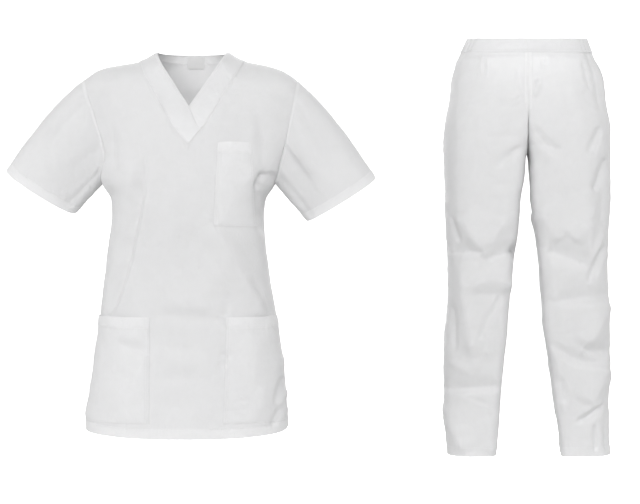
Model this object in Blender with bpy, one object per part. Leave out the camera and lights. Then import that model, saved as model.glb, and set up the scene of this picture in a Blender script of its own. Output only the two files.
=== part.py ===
"""Medical scrubs: a V-neck tunic and elastic-waist trousers, filled out as if worn, side by side.

Metres, +Z up, +X to the wearer's left, -Y to the front. The origin is where the shoulders hold the tunic:
the middle of the neck, at the height of its two highest points. The trousers have their own middle at TROUSERS.
"""

import math

import bpy
import numpy as np

# Cloth
CLOTH = 0.0020
BAND_CLOTH = 0.0026
POCKET_CLOTH = 0.0014
LABEL_CLOTH = 0.0010
WAISTBAND_CLOTH = 0.0028
SEAM_PULL = 0.00025
NECK_PULL = 0.00045
LAY_GAP = 0.0004
BAND_LIFT = 0.0005
# Each face of a rim is split from its lower end in this direction, so that both sides of a seam are split alike.
RIM_ORDER = np.array([0.31, 0.17, 1.0])

# Tunic
NECK_X = 0.005
NECK_HALF = 0.070
SHOULDER_Y = 0.004
SHOULDER_ROUND = 0.052
UNDERARM = -0.262
HEM_SIDE = -0.746
HEM_DROP = 0.013
VENT_TOP = -0.678
VENT_OPEN = 0.006
BODY_POWER = 2.6
CHEST_POWER = 2.4
CHEST_RISE = 0.12
CHEST_SAG = 0.028
CHEST_SAG_RISE = 0.08
CHEST_SAG_REACH = 0.45
ARMHOLE_DEEP_FRONT = 0.055
ARMHOLE_DEEP_BACK = 0.052
ARMHOLE_ROUND = 0.095
# Above the underarm only the cloth next to the armhole turns out at once. The rest eases out.
ARMHOLE_POWER = 6
SHOULDER_SKEW = 0.005
BACK_NECK_RISE = 0.002
BACK_BAND_TALL = 0.018
BACK_BAND_END = 0.085
CHEST_LINE = -0.188
CHEST_POCKET_FOOT = -0.350
LOWER_POCKET_TOP = -0.525
LOWER_POCKET_FOOT = -0.729
POCKET_GAPE = 0.0030
SLEEVE_DEEP = 0.049
SLEEVE_RINGS = 8
# The cuffs' outer and inner corners, as x, y, z, on the wearer's right (-1) and left (1).
CUFF = {
    -1: (np.array([-0.366, 0.004, -0.230]), np.array([-0.228, 0.004, -0.318])),
    1: (np.array([0.3676, 0.004, -0.2466]), np.array([0.2290, 0.004, -0.333])),
}
CUFF_SWELL = 0.013
CROWN_LIFT = 0.010
CROWN_POWER = 0.8
# The dent inside each elbow: how deep, then where round the sleeve and how wide, in turns of 2 pi.
SLEEVE_DENT = 0.007
DENT_TURN = 0.95
DENT_WIDE = 0.35
LABEL_WIDE = 0.034
LABEL_TALL = 0.024
LABEL_LOW = 0.001
LABEL_OFF = 0.0012

# Trousers
TROUSERS = (0.7151, 0.30)
WAIST_TOP = 0.0705
WAIST_SEAM = 0.0410
FRONT_DIP = 0.013
# How far the waistband draws in from its seam to its top edge, on the right, on the left, and in depth.
WAIST_DRAW_RIGHT = 0.0141
WAIST_DRAW_LEFT = 0.0112
WAIST_DRAW_DEEP = 0.004
CROTCH = -0.172
CROTCH_Y = 0.010
TROUSER_HEM = -0.841
LEG_POWER = 2.3
SEAM_HOLD = 7
LEG_COLUMNS = {-1: 11, 1: 8}
GATHERS = 34
GATHER_DEEP = 0.0020
WAIST_JOIN = 0.115
WAIST_ROWS = 4
FLAT_BAND_CELLS = 18

WHITE = (0.80, 0.80, 0.81, 1.0)
DOUBLE_WHITE = (0.86, 0.86, 0.87, 1.0)
CLOTH_ROUGHNESS = 0.9
SHARP_ANGLE = math.radians(50)


def table(names, *rows):
    """Rows of numbers under named columns."""
    return dict(zip(names.split(), np.array(rows, float).T))


# The tunic's outline and depth: x of the side seam, and above the underarm of the armhole, on each side,
# then the depth in front of and behind the seams, and x of the middle.
TUNIC = table(
    "height left right front back centre",
    (-0.765, -0.2075, 0.1955, 0.132, 0.128, -0.006),
    (-0.743, -0.2065, 0.1950, 0.131, 0.126, -0.006),
    (-0.679, -0.1992, 0.1910, 0.128, 0.121, -0.005),
    (-0.615, -0.1910, 0.1850, 0.125, 0.113, -0.004),
    (-0.551, -0.1815, 0.1750, 0.122, 0.104, -0.004),
    (-0.455, -0.1710, 0.1590, 0.121, 0.095, -0.004),
    (-0.391, -0.1630, 0.1510, 0.124, 0.092, -0.003),
    (-0.327, -0.1550, 0.1470, 0.130, 0.096, -0.003),
    (-0.295, -0.1570, 0.1500, 0.131, 0.099, -0.002),
    (-0.262, -0.1750, 0.1680, 0.130, 0.102, -0.001),
    (-0.244, -0.1735, 0.1745, 0.128, 0.104, 0.000),
    (-0.209, -0.1640, 0.1840, 0.123, 0.105, 0.002),
    (-0.159, -0.1755, 0.1980, 0.112, 0.104, 0.004),
    (-0.104, -0.1930, 0.2078, 0.097, 0.096, 0.005),
    (-0.058, -0.2144, 0.2144, 0.080, 0.083, 0.005),
    (0.010, -0.2144, 0.2144, 0.060, 0.060, 0.005),
)
# The shoulder seam's height, going out from the middle of the neck.
SHOULDER = table(
    "out height",
    (0.0700, 0.0000),
    (0.0976, -0.0155),
    (0.1176, -0.0205),
    (0.1500, -0.0265),
    (0.1800, -0.0350),
    (0.2050, -0.0500),
    (0.2200, -0.0620),
)
# The neck band's outer edge, where the front panel ends, and its inner edge, going out from the middle.
V_OUTER = table(
    "out height",
    (0.0000, -0.1920),
    (0.0277, -0.1560),
    (0.0520, -0.1150),
    (0.0720, -0.0800),
    (0.0900, -0.0500),
    (0.1035, -0.0172),
)
V_INNER = table(
    "out height",
    (-0.0277, -0.1560),
    (0.0000, -0.1165),
    (0.0320, -0.0680),
    (0.0600, -0.0230),
    (0.0700, 0.0000),
)
# Two guide columns on each side of the front, which the pockets' edges follow.
GUIDES = table(
    "height left_far left_near right_near right_far",
    (-0.765, -0.150, -0.0690, 0.0715, 0.148),
    (-0.525, -0.140, -0.0690, 0.0785, 0.136),
    (-0.440, -0.130, -0.0640, 0.0620, 0.128),
    (-0.350, -0.126, -0.0580, 0.0547, 0.136),
    (-0.262, -0.124, -0.0580, 0.0580, 0.131),
    (-0.188, -0.116, -0.0560, 0.0618, 0.125),
)
# Soft folds: start, end, half width, and height out of the cloth, below nothing for a trough.
FRONT_FOLDS = table(
    "x0 z0 x1 z1 wide out",
    (-0.085, -0.225, -0.104, -0.355, 0.012, -0.0050),
    (-0.100, -0.330, -0.150, -0.500, 0.014, -0.0080),
    (0.060, -0.345, 0.150, -0.500, 0.016, -0.0070),
    (0.136, -0.110, 0.146, -0.262, 0.015, -0.0090),
    (-0.146, -0.160, -0.140, -0.300, 0.012, -0.0070),
    (-0.060, -0.575, 0.062, -0.588, 0.014, -0.0030),
    (-0.062, -0.640, 0.030, -0.645, 0.014, -0.0030),
    (-0.130, -0.570, -0.060, -0.600, 0.014, -0.0035),
    (-0.040, -0.470, 0.050, -0.495, 0.032, 0.0040),
    (0.090, -0.640, 0.160, -0.600, 0.022, 0.0040),
)
BACK_FOLDS = table(
    "x0 z0 x1 z1 wide out",
    (-0.080, -0.250, -0.120, -0.520, 0.018, -0.0060),
    (0.075, -0.240, 0.115, -0.500, 0.018, -0.0060),
    (-0.050, -0.400, 0.060, -0.415, 0.020, -0.0040),
    (-0.030, -0.560, 0.020, -0.740, 0.026, 0.0050),
)
# The trousers' outline as the photograph shows it: outer and inner edge of each leg, then depth before and behind.
LEGS = table(
    "height outer_left inner_left inner_right outer_right front back",
    (-0.845, -0.1767, -0.0689, 0.0741, 0.1815, 0.066, 0.068),
    (-0.777, -0.1811, -0.0623, 0.0675, 0.1790, 0.070, 0.073),
    (-0.707, -0.1833, -0.0579, 0.0565, 0.1775, 0.076, 0.080),
    (-0.637, -0.1844, -0.0513, 0.0477, 0.1815, 0.081, 0.086),
    (-0.566, -0.1811, -0.0447, 0.0367, 0.1797, 0.087, 0.091),
    (-0.496, -0.1745, -0.0381, 0.0323, 0.1775, 0.092, 0.095),
    (-0.425, -0.1745, -0.0315, 0.0257, 0.1755, 0.098, 0.099),
    (-0.355, -0.1800, -0.0205, 0.0191, 0.1780, 0.105, 0.104),
    (-0.285, -0.1811, -0.0150, 0.0090, 0.1815, 0.112, 0.110),
    (-0.230, -0.1800, -0.0070, 0.0055, 0.1812, 0.117, 0.117),
    (-0.195, -0.1815, -0.0045, 0.0035, 0.1819, 0.120, 0.123),
    (-0.172, -0.1820, 0.0000, 0.0000, 0.1819, 0.122, 0.127),
    (-0.126, -0.1811, 0.0000, 0.0000, 0.1819, 0.123, 0.131),
    (-0.091, -0.1767, 0.0000, 0.0000, 0.1753, 0.120, 0.129),
    (-0.056, -0.1701, 0.0000, 0.0000, 0.1687, 0.116, 0.121),
    (-0.021, -0.1657, 0.0000, 0.0000, 0.1643, 0.111, 0.109),
    (0.015, -0.1575, 0.0000, 0.0000, 0.1510, 0.105, 0.095),
    (0.041, -0.1459, 0.0000, 0.0000, 0.1412, 0.099, 0.084),
)
# The centre seams from the crotch up: y in front and behind, then where between side and centre each half is deepest.
RISE = table(
    "height front back peak",
    (-0.172, 0.010, 0.010, 0.52),
    (-0.160, -0.025, 0.048, 0.53),
    (-0.140, -0.062, 0.080, 0.56),
    (-0.120, -0.086, 0.099, 0.60),
    (-0.090, -0.105, 0.113, 0.68),
    (-0.050, -0.111, 0.113, 0.80),
    (0.041, -0.099, 0.084, 1.00),
)
TROUSER_FOLDS = table(
    "x0 z0 x1 z1 wide out",
    (-0.072, -0.072, -0.012, -0.066, 0.014, -0.0040),
    (0.034, -0.026, 0.012, -0.078, 0.014, -0.0045),
    (-0.120, 0.030, -0.098, -0.030, 0.012, -0.0045),
    (0.086, 0.030, 0.070, -0.025, 0.012, -0.0040),
    (0.008, -0.112, 0.078, -0.190, 0.015, -0.0080),
    (-0.008, -0.140, -0.070, -0.220, 0.015, -0.0070),
    (0.014, -0.215, 0.065, -0.360, 0.020, -0.0060),
    (-0.172, -0.140, -0.150, -0.310, 0.016, -0.0060),
    (0.160, -0.130, 0.138, -0.190, 0.014, -0.0070),
    (0.174, -0.205, 0.146, -0.275, 0.015, -0.0090),
    (-0.172, -0.325, -0.100, -0.412, 0.017, -0.0085),
    (-0.022, -0.340, -0.092, -0.408, 0.017, -0.0090),
    (-0.120, -0.470, -0.042, -0.458, 0.016, -0.0060),
    (-0.058, -0.495, -0.104, -0.580, 0.015, -0.0075),
    (-0.165, -0.430, -0.120, -0.590, 0.018, -0.0065),
    (-0.174, -0.668, -0.070, -0.677, 0.015, -0.0065),
    (-0.174, -0.725, -0.140, -0.815, 0.015, -0.0060),
    (0.174, -0.385, 0.130, -0.455, 0.015, -0.0090),
    (0.026, -0.418, 0.114, -0.450, 0.015, 0.0055),
    (0.060, -0.504, 0.172, -0.484, 0.015, -0.0070),
    (0.172, -0.505, 0.118, -0.610, 0.017, -0.0090),
    (0.054, -0.596, 0.156, -0.638, 0.015, -0.0065),
    (0.172, -0.632, 0.130, -0.725, 0.016, -0.0090),
    (0.164, -0.728, 0.104, -0.762, 0.014, -0.0080),
)
SEAT_FOLDS = table(
    "x0 z0 x1 z1 wide out",
    (-0.012, -0.150, -0.110, -0.225, 0.018, -0.0070),
    (0.012, -0.150, 0.105, -0.235, 0.018, -0.0070),
    (-0.172, -0.270, -0.080, -0.300, 0.017, -0.0060),
    (-0.172, -0.390, -0.046, -0.440, 0.018, -0.0085),
    (0.168, -0.380, 0.046, -0.435, 0.018, -0.0085),
    (-0.060, -0.500, -0.168, -0.550, 0.017, -0.0070),
    (0.050, -0.510, 0.164, -0.565, 0.017, -0.0070),
    (-0.168, -0.640, -0.075, -0.665, 0.016, -0.0060),
    (0.168, -0.650, 0.080, -0.670, 0.016, -0.0060),
)

# Heights of the tunic's rows, from its hem to the chest pocket's top, then shares of the way up to the top edge.
LEVELS = (
    HEM_SIDE, LOWER_POCKET_FOOT, -0.690, -0.650, -0.608, -0.566, LOWER_POCKET_TOP, -0.488, -0.452, -0.418,
    -0.384, CHEST_POCKET_FOOT, -0.320, -0.290, UNDERARM, -0.243, -0.224, -0.206, CHEST_LINE,
)
UPPER_SHARES = (0.18, 0.35, 0.51, 0.65, 0.77, 0.87, 0.95, 1.0)
# The V: how far out its lower band passes under the upper one, and where the bands' rows meet the shoulder seam.
OVERLAP = 0.0277
BAND_OUTS = np.array([0.1035, BACK_BAND_END, 0.0775, NECK_HALF])
BAND_SHARES = (BAND_OUTS[0] - BAND_OUTS) / (BAND_OUTS[0] - NECK_HALF)
# Where the columns meet the top edge, going out from the middle: along the bands first, then the shoulder seam.
V_STOPS = (0.0, *(OVERLAP * BAND_SHARES[1:]), 0.044, 0.060, 0.075, 0.089, BAND_OUTS[0])
SHOULDER_STOPS = (0.125, 0.150, 0.175, 0.197, 0.2144)
FRONT_TOPS = V_STOPS[1:] + SHOULDER_STOPS
BACK_BAND_STOPS = (0.022, 0.044, 0.066, BACK_BAND_END)
BACK_TOPS = BACK_BAND_STOPS + (BAND_OUTS[0],) + SHOULDER_STOPS
NEAR_COLUMN = 5
FAR_COLUMN = 9
EDGE_SHARES = (0.40, 0.72, 0.92, 1.0)
# Heights of the trouser panels' rows, from the waist seam to the crotch and on to the hem.
RISE_LEVELS = (WAIST_SEAM, 0.020, -0.005, -0.030, -0.055, -0.080, -0.102, -0.122, -0.140, -0.157, CROTCH)
LEG_LEVELS = tuple(np.linspace(-0.192, TROUSER_HEM, 31))


def along(rows, name, at, key="height"):
    """A table's column at any value of its key, on a smooth curve with no overshoot."""
    xs, ys = rows[key], rows[name]
    rates = np.diff(ys) / np.diff(xs)
    before, after = rates[:-1], rates[1:]
    both = before + after
    level = (before * after <= 0) | (both == 0)
    middle = np.where(level, 0, 2 * before * after / np.where(level, 1, both))
    slopes = np.concatenate([rates[:1], middle, rates[-1:]])
    at = np.clip(at, xs[0], xs[-1])
    i = np.clip(np.searchsorted(xs, at) - 1, 0, len(xs) - 2)
    span = xs[i + 1] - xs[i]
    t = (at - xs[i]) / span
    return (
        ys[i] * (1 + 2 * t) * (1 - t) ** 2
        + ys[i + 1] * t**2 * (3 - 2 * t)
        + slopes[i] * span * t * (1 - t) ** 2
        - slopes[i + 1] * span * t**2 * (1 - t)
    )


def ease(t):
    """From 0 to 1 with level ends."""
    t = np.clip(t, 0, 1)
    return t * t * (3 - 2 * t)


def round_in(t):
    """A quarter circle, steep at 0 and level at 1."""
    return np.sqrt(1 - (1 - np.clip(t, 0, 1)) ** 2)


def oval(share, power):
    """Depth of a squarish oval, 1 at its middle and 0 at its edge, at that share of the way out."""
    return (1 - np.clip(np.abs(share), 0, 1) ** power) ** (1 / power)


def folds(rows, x, z):
    """How far all the folds of a table lift the cloth at x, z."""
    total = np.zeros(np.broadcast(x, z).shape)
    for x0, z0, x1, z1, wide, out in zip(*(rows[name] for name in "x0 z0 x1 z1 wide out".split())):
        run, rise = x1 - x0, z1 - z0
        length = math.hypot(run, rise)
        t = ((x - x0) * run + (z - z0) * rise) / length**2
        beside = ((x - x0) * rise - (z - z0) * run) / length
        beyond = np.maximum(np.maximum(-t, t - 1), 0) * length
        taper = 0.35 + 0.65 * np.sin(np.pi * np.clip(t, 0, 1))
        total = total + out * taper * np.exp(-((beside / wide) ** 2) - (beyond / (1.6 * wide)) ** 2)
    return total


def shoulder_height(x):
    """Height of the shoulder seam over x, a little lower on the left. Inside the neck it climbs, which makes
    the neckline round from above."""
    out = np.abs(x - NECK_X)
    skew = SHOULDER_SKEW * np.sign(x - NECK_X) * ease((out - BAND_OUTS[0]) / (SHOULDER_STOPS[2] - BAND_OUTS[0]))
    seam = along(SHOULDER, "height", out + skew, key="out")
    return np.where(out < NECK_HALF, SHOULDER_ROUND * (1 - out / NECK_HALF), seam)


def body(x, z, face):
    """Points of the tunic's outer surface: face is -1 for the front and 1 for the back."""
    centre = along(TUNIC, "centre", z)
    edge = np.where(x > centre, along(TUNIC, "right", z), along(TUNIC, "left", z))
    share = np.clip((x - centre) / (edge - centre), 0, 1)
    chest = ease((z - UNDERARM) / CHEST_RISE)
    shape = (1 - chest) * oval(share, BODY_POWER) + chest * (1 - share**CHEST_POWER)
    deep = along(TUNIC, "front" if face < 0 else "back", z)
    armhole = ARMHOLE_DEEP_FRONT if face < 0 else ARMHOLE_DEEP_BACK
    at_once = share**ARMHOLE_POWER
    rise = (z - UNDERARM) / ARMHOLE_ROUND
    side = armhole * (at_once * round_in(rise) + (1 - at_once) * ease((rise + 1) / 2))
    out = side + (deep - side) * shape
    top = round_in((shoulder_height(x) - z) / SHOULDER_ROUND)
    soft = folds(FRONT_FOLDS if face < 0 else BACK_FOLDS, x, z) * np.minimum(1, 2 * shape) * top
    vent = VENT_OPEN * ease((VENT_TOP - z) / (VENT_TOP - HEM_SIDE)) * share**12
    y = SHOULDER_Y + (face * out - SHOULDER_Y) * top + face * (soft + vent)
    return np.stack([np.broadcast_to(x, y.shape), y, np.broadcast_to(z, y.shape)], axis=-1)


def mirrored(outs, middle):
    """x from left to right through a middle, from distances going out."""
    outs = np.asarray(outs)
    return np.concatenate([middle - outs[::-1], [middle], middle + outs])


def half_columns(near, far, edge, centre):
    """x of a front half's columns at one height, going out from the centre through both guides to the edge."""
    inner = np.linspace(centre, near, NEAR_COLUMN + 1)[1:]
    middle = np.linspace(near, far, FAR_COLUMN - NEAR_COLUMN + 1)[1:]
    return np.concatenate([inner, middle, far + np.array(EDGE_SHARES) * (edge - far)])


def front_columns(z):
    """x of every column of the front at height z."""
    centre = along(TUNIC, "centre", z)
    left = half_columns(
        along(GUIDES, "left_near", z), along(GUIDES, "left_far", z), along(TUNIC, "left", z), centre
    )
    right = half_columns(
        along(GUIDES, "right_near", z), along(GUIDES, "right_far", z), along(TUNIC, "right", z), centre
    )
    return np.concatenate([left[::-1], [centre], right])


def back_columns(z):
    """x of every column of the back at height z, closer together towards the side seams."""
    centre = along(TUNIC, "centre", z)
    shares = np.sin(np.pi / 2 * np.arange(1, len(BACK_TOPS) + 1) / len(BACK_TOPS))
    left = centre + shares * (along(TUNIC, "left", z) - centre)
    right = centre + shares * (along(TUNIC, "right", z) - centre)
    return np.concatenate([left[::-1], [centre], right])


def clamp_to_shoulders(x):
    """Keeps the outermost columns on the armholes' upper ends."""
    return np.clip(x, TUNIC["left"][-1], TUNIC["right"][-1])


def tunic_grid(columns, tops, top_heights, chest_sag, face):
    """Rows from the hem up, each a row of points from left to right."""
    rows = []
    for z in LEVELS:
        x = columns(z)
        share = np.abs(np.linspace(-1, 1, len(x)))
        hang = chest_sag * ease((z - UNDERARM) / CHEST_SAG_RISE) * (1 - ease(share / CHEST_SAG_REACH))
        sag = HEM_DROP * (1 - share**3) if z == HEM_SIDE else hang
        rows.append(body(x, z - sag, face))
    start = rows[-1]
    for share in UPPER_SHARES:
        x = start[:, 0] + share * (tops - start[:, 0])
        z = start[:, 2] + share * (top_heights - start[:, 2])
        rows.append(body(x, z, face))
    return np.array(rows)


def front_grid():
    tops = clamp_to_shoulders(mirrored(FRONT_TOPS, NECK_X))
    out = np.abs(tops - NECK_X)
    band_end = V_OUTER["out"][-1]
    heights = np.where(out <= band_end + 1e-9, along(V_OUTER, "height", out, key="out"), shoulder_height(tops))
    return tunic_grid(front_columns, tops, heights, CHEST_SAG, -1)


def back_grid():
    tops = clamp_to_shoulders(mirrored(BACK_TOPS, NECK_X))
    out = np.abs(tops - NECK_X)
    inside = out <= BACK_BAND_END + 1e-9
    heights = np.where(inside, band_foot(out), shoulder_height(tops))
    return tunic_grid(back_columns, tops, heights, 0.0, 1)


def band_foot(out):
    """Height of the back band's lower edge, which ends on the shoulder seams."""
    ends = float(along(SHOULDER, "height", BACK_BAND_END, key="out"))
    low = BACK_NECK_RISE - BACK_BAND_TALL
    return low + (ends - low) * (out / BACK_BAND_END) ** 2


def back_band_grid():
    """Rows from the band's lower edge to its upper one. Its ends lie on the shoulder seams."""
    low = mirrored(BACK_BAND_STOPS, 0.0)
    turn = low / BACK_BAND_END
    top_z = BACK_NECK_RISE * (1 - turn**2)
    rows = []
    for out in BAND_OUTS[1:]:
        share = (BACK_BAND_END - out) / (BACK_BAND_END - NECK_HALF)
        x = NECK_X + turn * out
        z = band_foot(np.abs(low)) + share * (top_z - band_foot(np.abs(low)))
        z[[0, -1]] = shoulder_height(x[[0, -1]])
        rows.append(body(x, z, 1))
    return np.array(rows)


def front_band_grid(side):
    """Rows across the band from its outer to its inner edge, from its lower end to the shoulder seam.
    The upper band, on the wearer's right, goes on to the V's tip. The other ends at the upper one's inner edge."""
    outer = np.array(V_STOPS)
    inner = NECK_HALF * (outer - OVERLAP) / (outer[-1] - OVERLAP)
    overlap = len(BAND_SHARES) - 1
    inner[:overlap] = -OVERLAP * (1 - BAND_SHARES[:overlap])
    if side > 0:
        outer, inner = outer[overlap:], inner[overlap:]
    outer_z = along(V_OUTER, "height", outer, key="out")
    inner_z = along(V_INNER, "height", inner, key="out")
    rows = []
    for share in BAND_SHARES:
        out = outer + share * (inner - outer)
        z = outer_z + share * (inner_z - outer_z)
        z[0] = along(V_OUTER if side < 0 else V_INNER, "height", -out[0], key="out")
        z[-1] = shoulder_height(NECK_X + out[-1])
        rows.append(body(NECK_X + side * out, z, -1))
    return np.array(rows)


def sleeve_grid(front, back, side):
    """Rings from the armhole to the cuff, each going from the underarm round the front, shoulder and back."""
    first = LEVELS.index(UNDERARM)
    column = -1 if side > 0 else 0
    armhole = np.concatenate([front[first:, column], back[first + 1 : -1, column][::-1]])
    steps = np.linalg.norm(np.diff(np.vstack([armhole, armhole[:1]]), axis=0), axis=1)
    turn = 2 * np.pi * np.concatenate([[0], np.cumsum(steps)[:-1]]) / steps.sum()
    outer, inner = CUFF[side]
    centre, reach = (outer + inner) / 2, (outer - inner) / 2
    slant = reach / np.linalg.norm(reach)
    along_sleeve = np.array([slant[2], 0, -slant[0]]) * side
    swell = np.sqrt(np.maximum(np.sin(turn), 0))[:, None] * CUFF_SWELL * along_sleeve
    cuff = centre - np.cos(turn)[:, None] * reach + swell
    cuff[:, 1] -= SLEEVE_DEEP * np.sin(turn)
    rings = []
    for share in np.linspace(0, 1, SLEEVE_RINGS + 1):
        ring = armhole + share * (cuff - armhole)
        crown = np.maximum(-np.cos(turn), 0)[:, None] ** 2 * CROWN_LIFT * np.sin(np.pi * share**CROWN_POWER) * slant
        inside = np.exp(-(((turn - DENT_TURN) / DENT_WIDE) ** 2))[:, None]
        dent = inside * SLEEVE_DENT * np.sin(np.pi * share) * [0, 1, 0]
        rings.append(ring + crown + dent)
    return np.array(rings)


def half_section(outer, inner, deep, inner_y, peak, count):
    """Points of half a leg's section from the side seam to the centre seam or inseam, evenly spaced."""
    t = np.linspace(0, 1, 121)
    rising = np.sin(np.pi / 2 * t) ** (2 / LEG_POWER)
    back_off = np.cos(np.pi / 2 * t) ** (2 / LEG_POWER)
    x = outer + (inner - outer) * peak * (1 - back_off)
    y = deep * rising
    if peak < 0.999:
        x2 = outer + (inner - outer) * (peak + (1 - peak) * rising)
        y2 = inner_y + (deep - inner_y) * back_off
        x, y = np.concatenate([x, x2[1:]]), np.concatenate([y, y2[1:]])
    steps = np.concatenate([[0], np.cumsum(np.hypot(np.diff(x), np.diff(y)))])
    even = np.linspace(0, steps[-1], count + 1)
    return np.interp(even, steps, x), np.interp(even, steps, y)


def leg_grid(side, face):
    """Rows from the waist seam down, each from the side seam to the centre seam or inseam."""
    name = "left" if side < 0 else "right"
    depth = "front" if face < 0 else "back"
    rows = []
    for z in RISE_LEVELS + LEG_LEVELS:
        outer, inner = along(LEGS, "outer_" + name, z), along(LEGS, "inner_" + name, z)
        deep = face * along(LEGS, depth, z)
        rising = z > CROTCH
        inner_y = along(RISE, depth, z) if rising else CROTCH_Y
        peak = float(along(RISE, "peak", z)) if rising else 0.5
        if z >= CROTCH:
            inner = 0.0
        x, y = half_section(outer, inner, deep, inner_y, peak, LEG_COLUMNS[face])
        shape = np.clip(np.abs(y / deep), 0, 1)
        lift = folds(TROUSER_FOLDS if face < 0 else SEAT_FOLDS, x, np.full_like(x, z))
        across = np.linspace(0, 1, len(x))
        y = y + face * lift * np.clip(SEAM_HOLD * across * (1 - across), 0, 1)
        dip = FRONT_DIP * shape if z == WAIST_SEAM and face < 0 else 0 * shape
        rows.append(np.stack([TROUSERS[0] + x, TROUSERS[1] + y, z - dip], axis=-1))
    return np.array(rows)


def waist_section(z, turns):
    """Points round the waist at height z: a turn of 0 is the front and half a turn the back."""
    t = (z - WAIST_SEAM) / (WAIST_TOP - WAIST_SEAM)
    left, right = LEGS["outer_left"][-1] + WAIST_DRAW_RIGHT * t, LEGS["outer_right"][-1] - WAIST_DRAW_LEFT * t
    front, back = LEGS["front"][-1] - WAIST_DRAW_DEEP * t, LEGS["back"][-1] - WAIST_DRAW_DEEP * t
    angle = 2 * np.pi * turns
    swing = np.sign(np.sin(angle)) * np.abs(np.sin(angle)) ** (2 / LEG_POWER)
    depth = np.sign(np.cos(angle)) * np.abs(np.cos(angle)) ** (2 / LEG_POWER)
    x = np.where(swing > 0, right, -left) * swing
    y = -np.where(depth > 0, front, back) * depth
    dip = FRONT_DIP * np.clip(depth, 0, 1)
    return np.stack([TROUSERS[0] + x, TROUSERS[1] + y, z - dip], axis=-1)


def join_turn():
    """The share of a turn from the middle of the front to where the flat band meets the elastic one."""
    return math.asin((WAIST_JOIN / LEGS["outer_right"][-1]) ** (LEG_POWER / 2)) / (2 * math.pi)


def waist_grid(turns):
    """Rows from the seam up to the top edge."""
    return np.array([waist_section(z, turns) for z in np.linspace(WAIST_SEAM, WAIST_TOP, WAIST_ROWS)])


def gathers(rows, columns):
    """How deep the elastic band's cloth dips between its ridges, at each point of its grid."""
    up = np.sin(np.pi * (0.2 + 0.6 * np.linspace(0, 1, rows)))
    return GATHER_DEEP * up[:, None] * (np.arange(columns) % 2)[None, :]


class Garment:
    """Pieces that are sewn together. Normals are averaged over every piece that shares a seam's points,
    so that both walls end in one slanting face there, like a mitre."""

    def __init__(self):
        self.sums = {}

    @staticmethod
    def key(point):
        return tuple(np.round(point, 6))

    def add(self, grid, ring=False):
        """Counts a grid's faces in the normals of its points."""
        for a, b, c in triangles(grid.shape[0], grid.shape[1], ring):
            corners = grid.reshape(-1, 3)[[a, b, c]]
            normal = np.cross(corners[1] - corners[0], corners[2] - corners[0])
            for corner in corners:
                self.sums[self.key(corner)] = self.sums.get(self.key(corner), 0) + normal

    def normals(self, grid):
        """Unit normals of a grid's points, pointing out of the garment."""
        flat = np.array([self.sums[self.key(p)] for p in grid.reshape(-1, 3)])
        return (flat / np.linalg.norm(flat, axis=1)[:, None]).reshape(grid.shape)


def triangles(rows, columns, ring=False):
    """Corner numbers of a grid's triangles, counter-clockwise as seen from the side that columns, then rows, turn to."""
    found = []
    for r in range(rows - 1):
        for c in range(columns if ring else columns - 1):
            d = (c + 1) % columns
            a, b = r * columns + c, r * columns + d
            e, f = (r + 1) * columns + c, (r + 1) * columns + d
            found += [(a, b, f), (a, f, e)]
    return found


def drawn_back(edge, inner, pull):
    """An edge's points, moved towards the next row of points."""
    step = inner - edge
    return edge + pull * step / np.linalg.norm(step, axis=-1, keepdims=True)


def pulled(grid, pulls, ring):
    """The grid with its open edges drawn back from the seams: pulls are for the first and last row and column."""
    grid = grid.copy()
    first_row, last_row, first_column, last_column = pulls
    grid[0] = drawn_back(grid[0], grid[1], first_row)
    grid[-1] = drawn_back(grid[-1], grid[-2], last_row)
    if not ring:
        grid[:, 0] = drawn_back(grid[:, 0], grid[:, 1], first_column)
        grid[:, -1] = drawn_back(grid[:, -1], grid[:, -2], last_column)
    return grid


def rim(rows, columns, ring):
    """The open edge's corner numbers, in order, as one loop, or as two for a ring."""
    if ring:
        low = [c for c in range(columns)]
        high = [(rows - 1) * columns + c for c in range(columns)]
        return [low, high[::-1]]
    low = [c for c in range(columns)]
    right = [r * columns + columns - 1 for r in range(1, rows)]
    high = [(rows - 1) * columns + c for c in range(columns - 2, -1, -1)]
    left = [r * columns for r in range(rows - 2, 0, -1)]
    return [low + right + high + left]


def wall(name, outer, inner, material, ring=False):
    """One closed wall between an outer and an inner grid."""
    rows, columns = outer.shape[:2]
    count = rows * columns
    points = np.concatenate([outer.reshape(-1, 3), inner.reshape(-1, 3)])
    faces = []
    for a, b, c in triangles(rows, columns, ring):
        faces += [(a, b, c), (a + count, c + count, b + count)]
    order = points @ RIM_ORDER
    for loop in rim(rows, columns, ring):
        for a, b in zip(loop, loop[1:] + loop[:1]):
            if order[a] < order[b]:
                faces += [(b, a, a + count), (b, a + count, b + count)]
            else:
                faces += [(b, a, b + count), (a, a + count, b + count)]
    mesh = bpy.data.meshes.new(name)
    mesh.from_pydata(points.tolist(), [], faces)
    mesh.materials.append(material)
    mesh.shade_smooth()
    mesh.set_sharp_from_angle(angle=SHARP_ANGLE)
    bpy.context.scene.collection.objects.link(bpy.data.objects.new(name, mesh))


def cloth_material(name, colour):
    material = bpy.data.materials.new(name)
    material.use_nodes = True
    shader = material.node_tree.nodes["Principled BSDF"]
    shader.inputs["Base Color"].default_value = colour
    shader.inputs["Roughness"].default_value = CLOTH_ROUGHNESS
    return material


def sew(name, grid, normals, thick, material, pulls=(SEAM_PULL,) * 4, ring=False, lift=0.0):
    """A piece of cloth: its outer face on the grid, or lifted off it, and its wall inwards."""
    outer = grid + lift * normals
    inner = grid - thick * normals
    wall(name, pulled(outer, pulls, ring), pulled(inner, pulls, ring), material, ring)


def lay(name, grid, normals, thick, material, gape=None):
    """A piece that lies on a panel: the panel's points, moved out. Gape is how far each point stands off more."""
    off = LAY_GAP + (0 if gape is None else gape[..., None])
    wall(name, grid + (off + thick) * normals, grid + off * normals, material)


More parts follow.
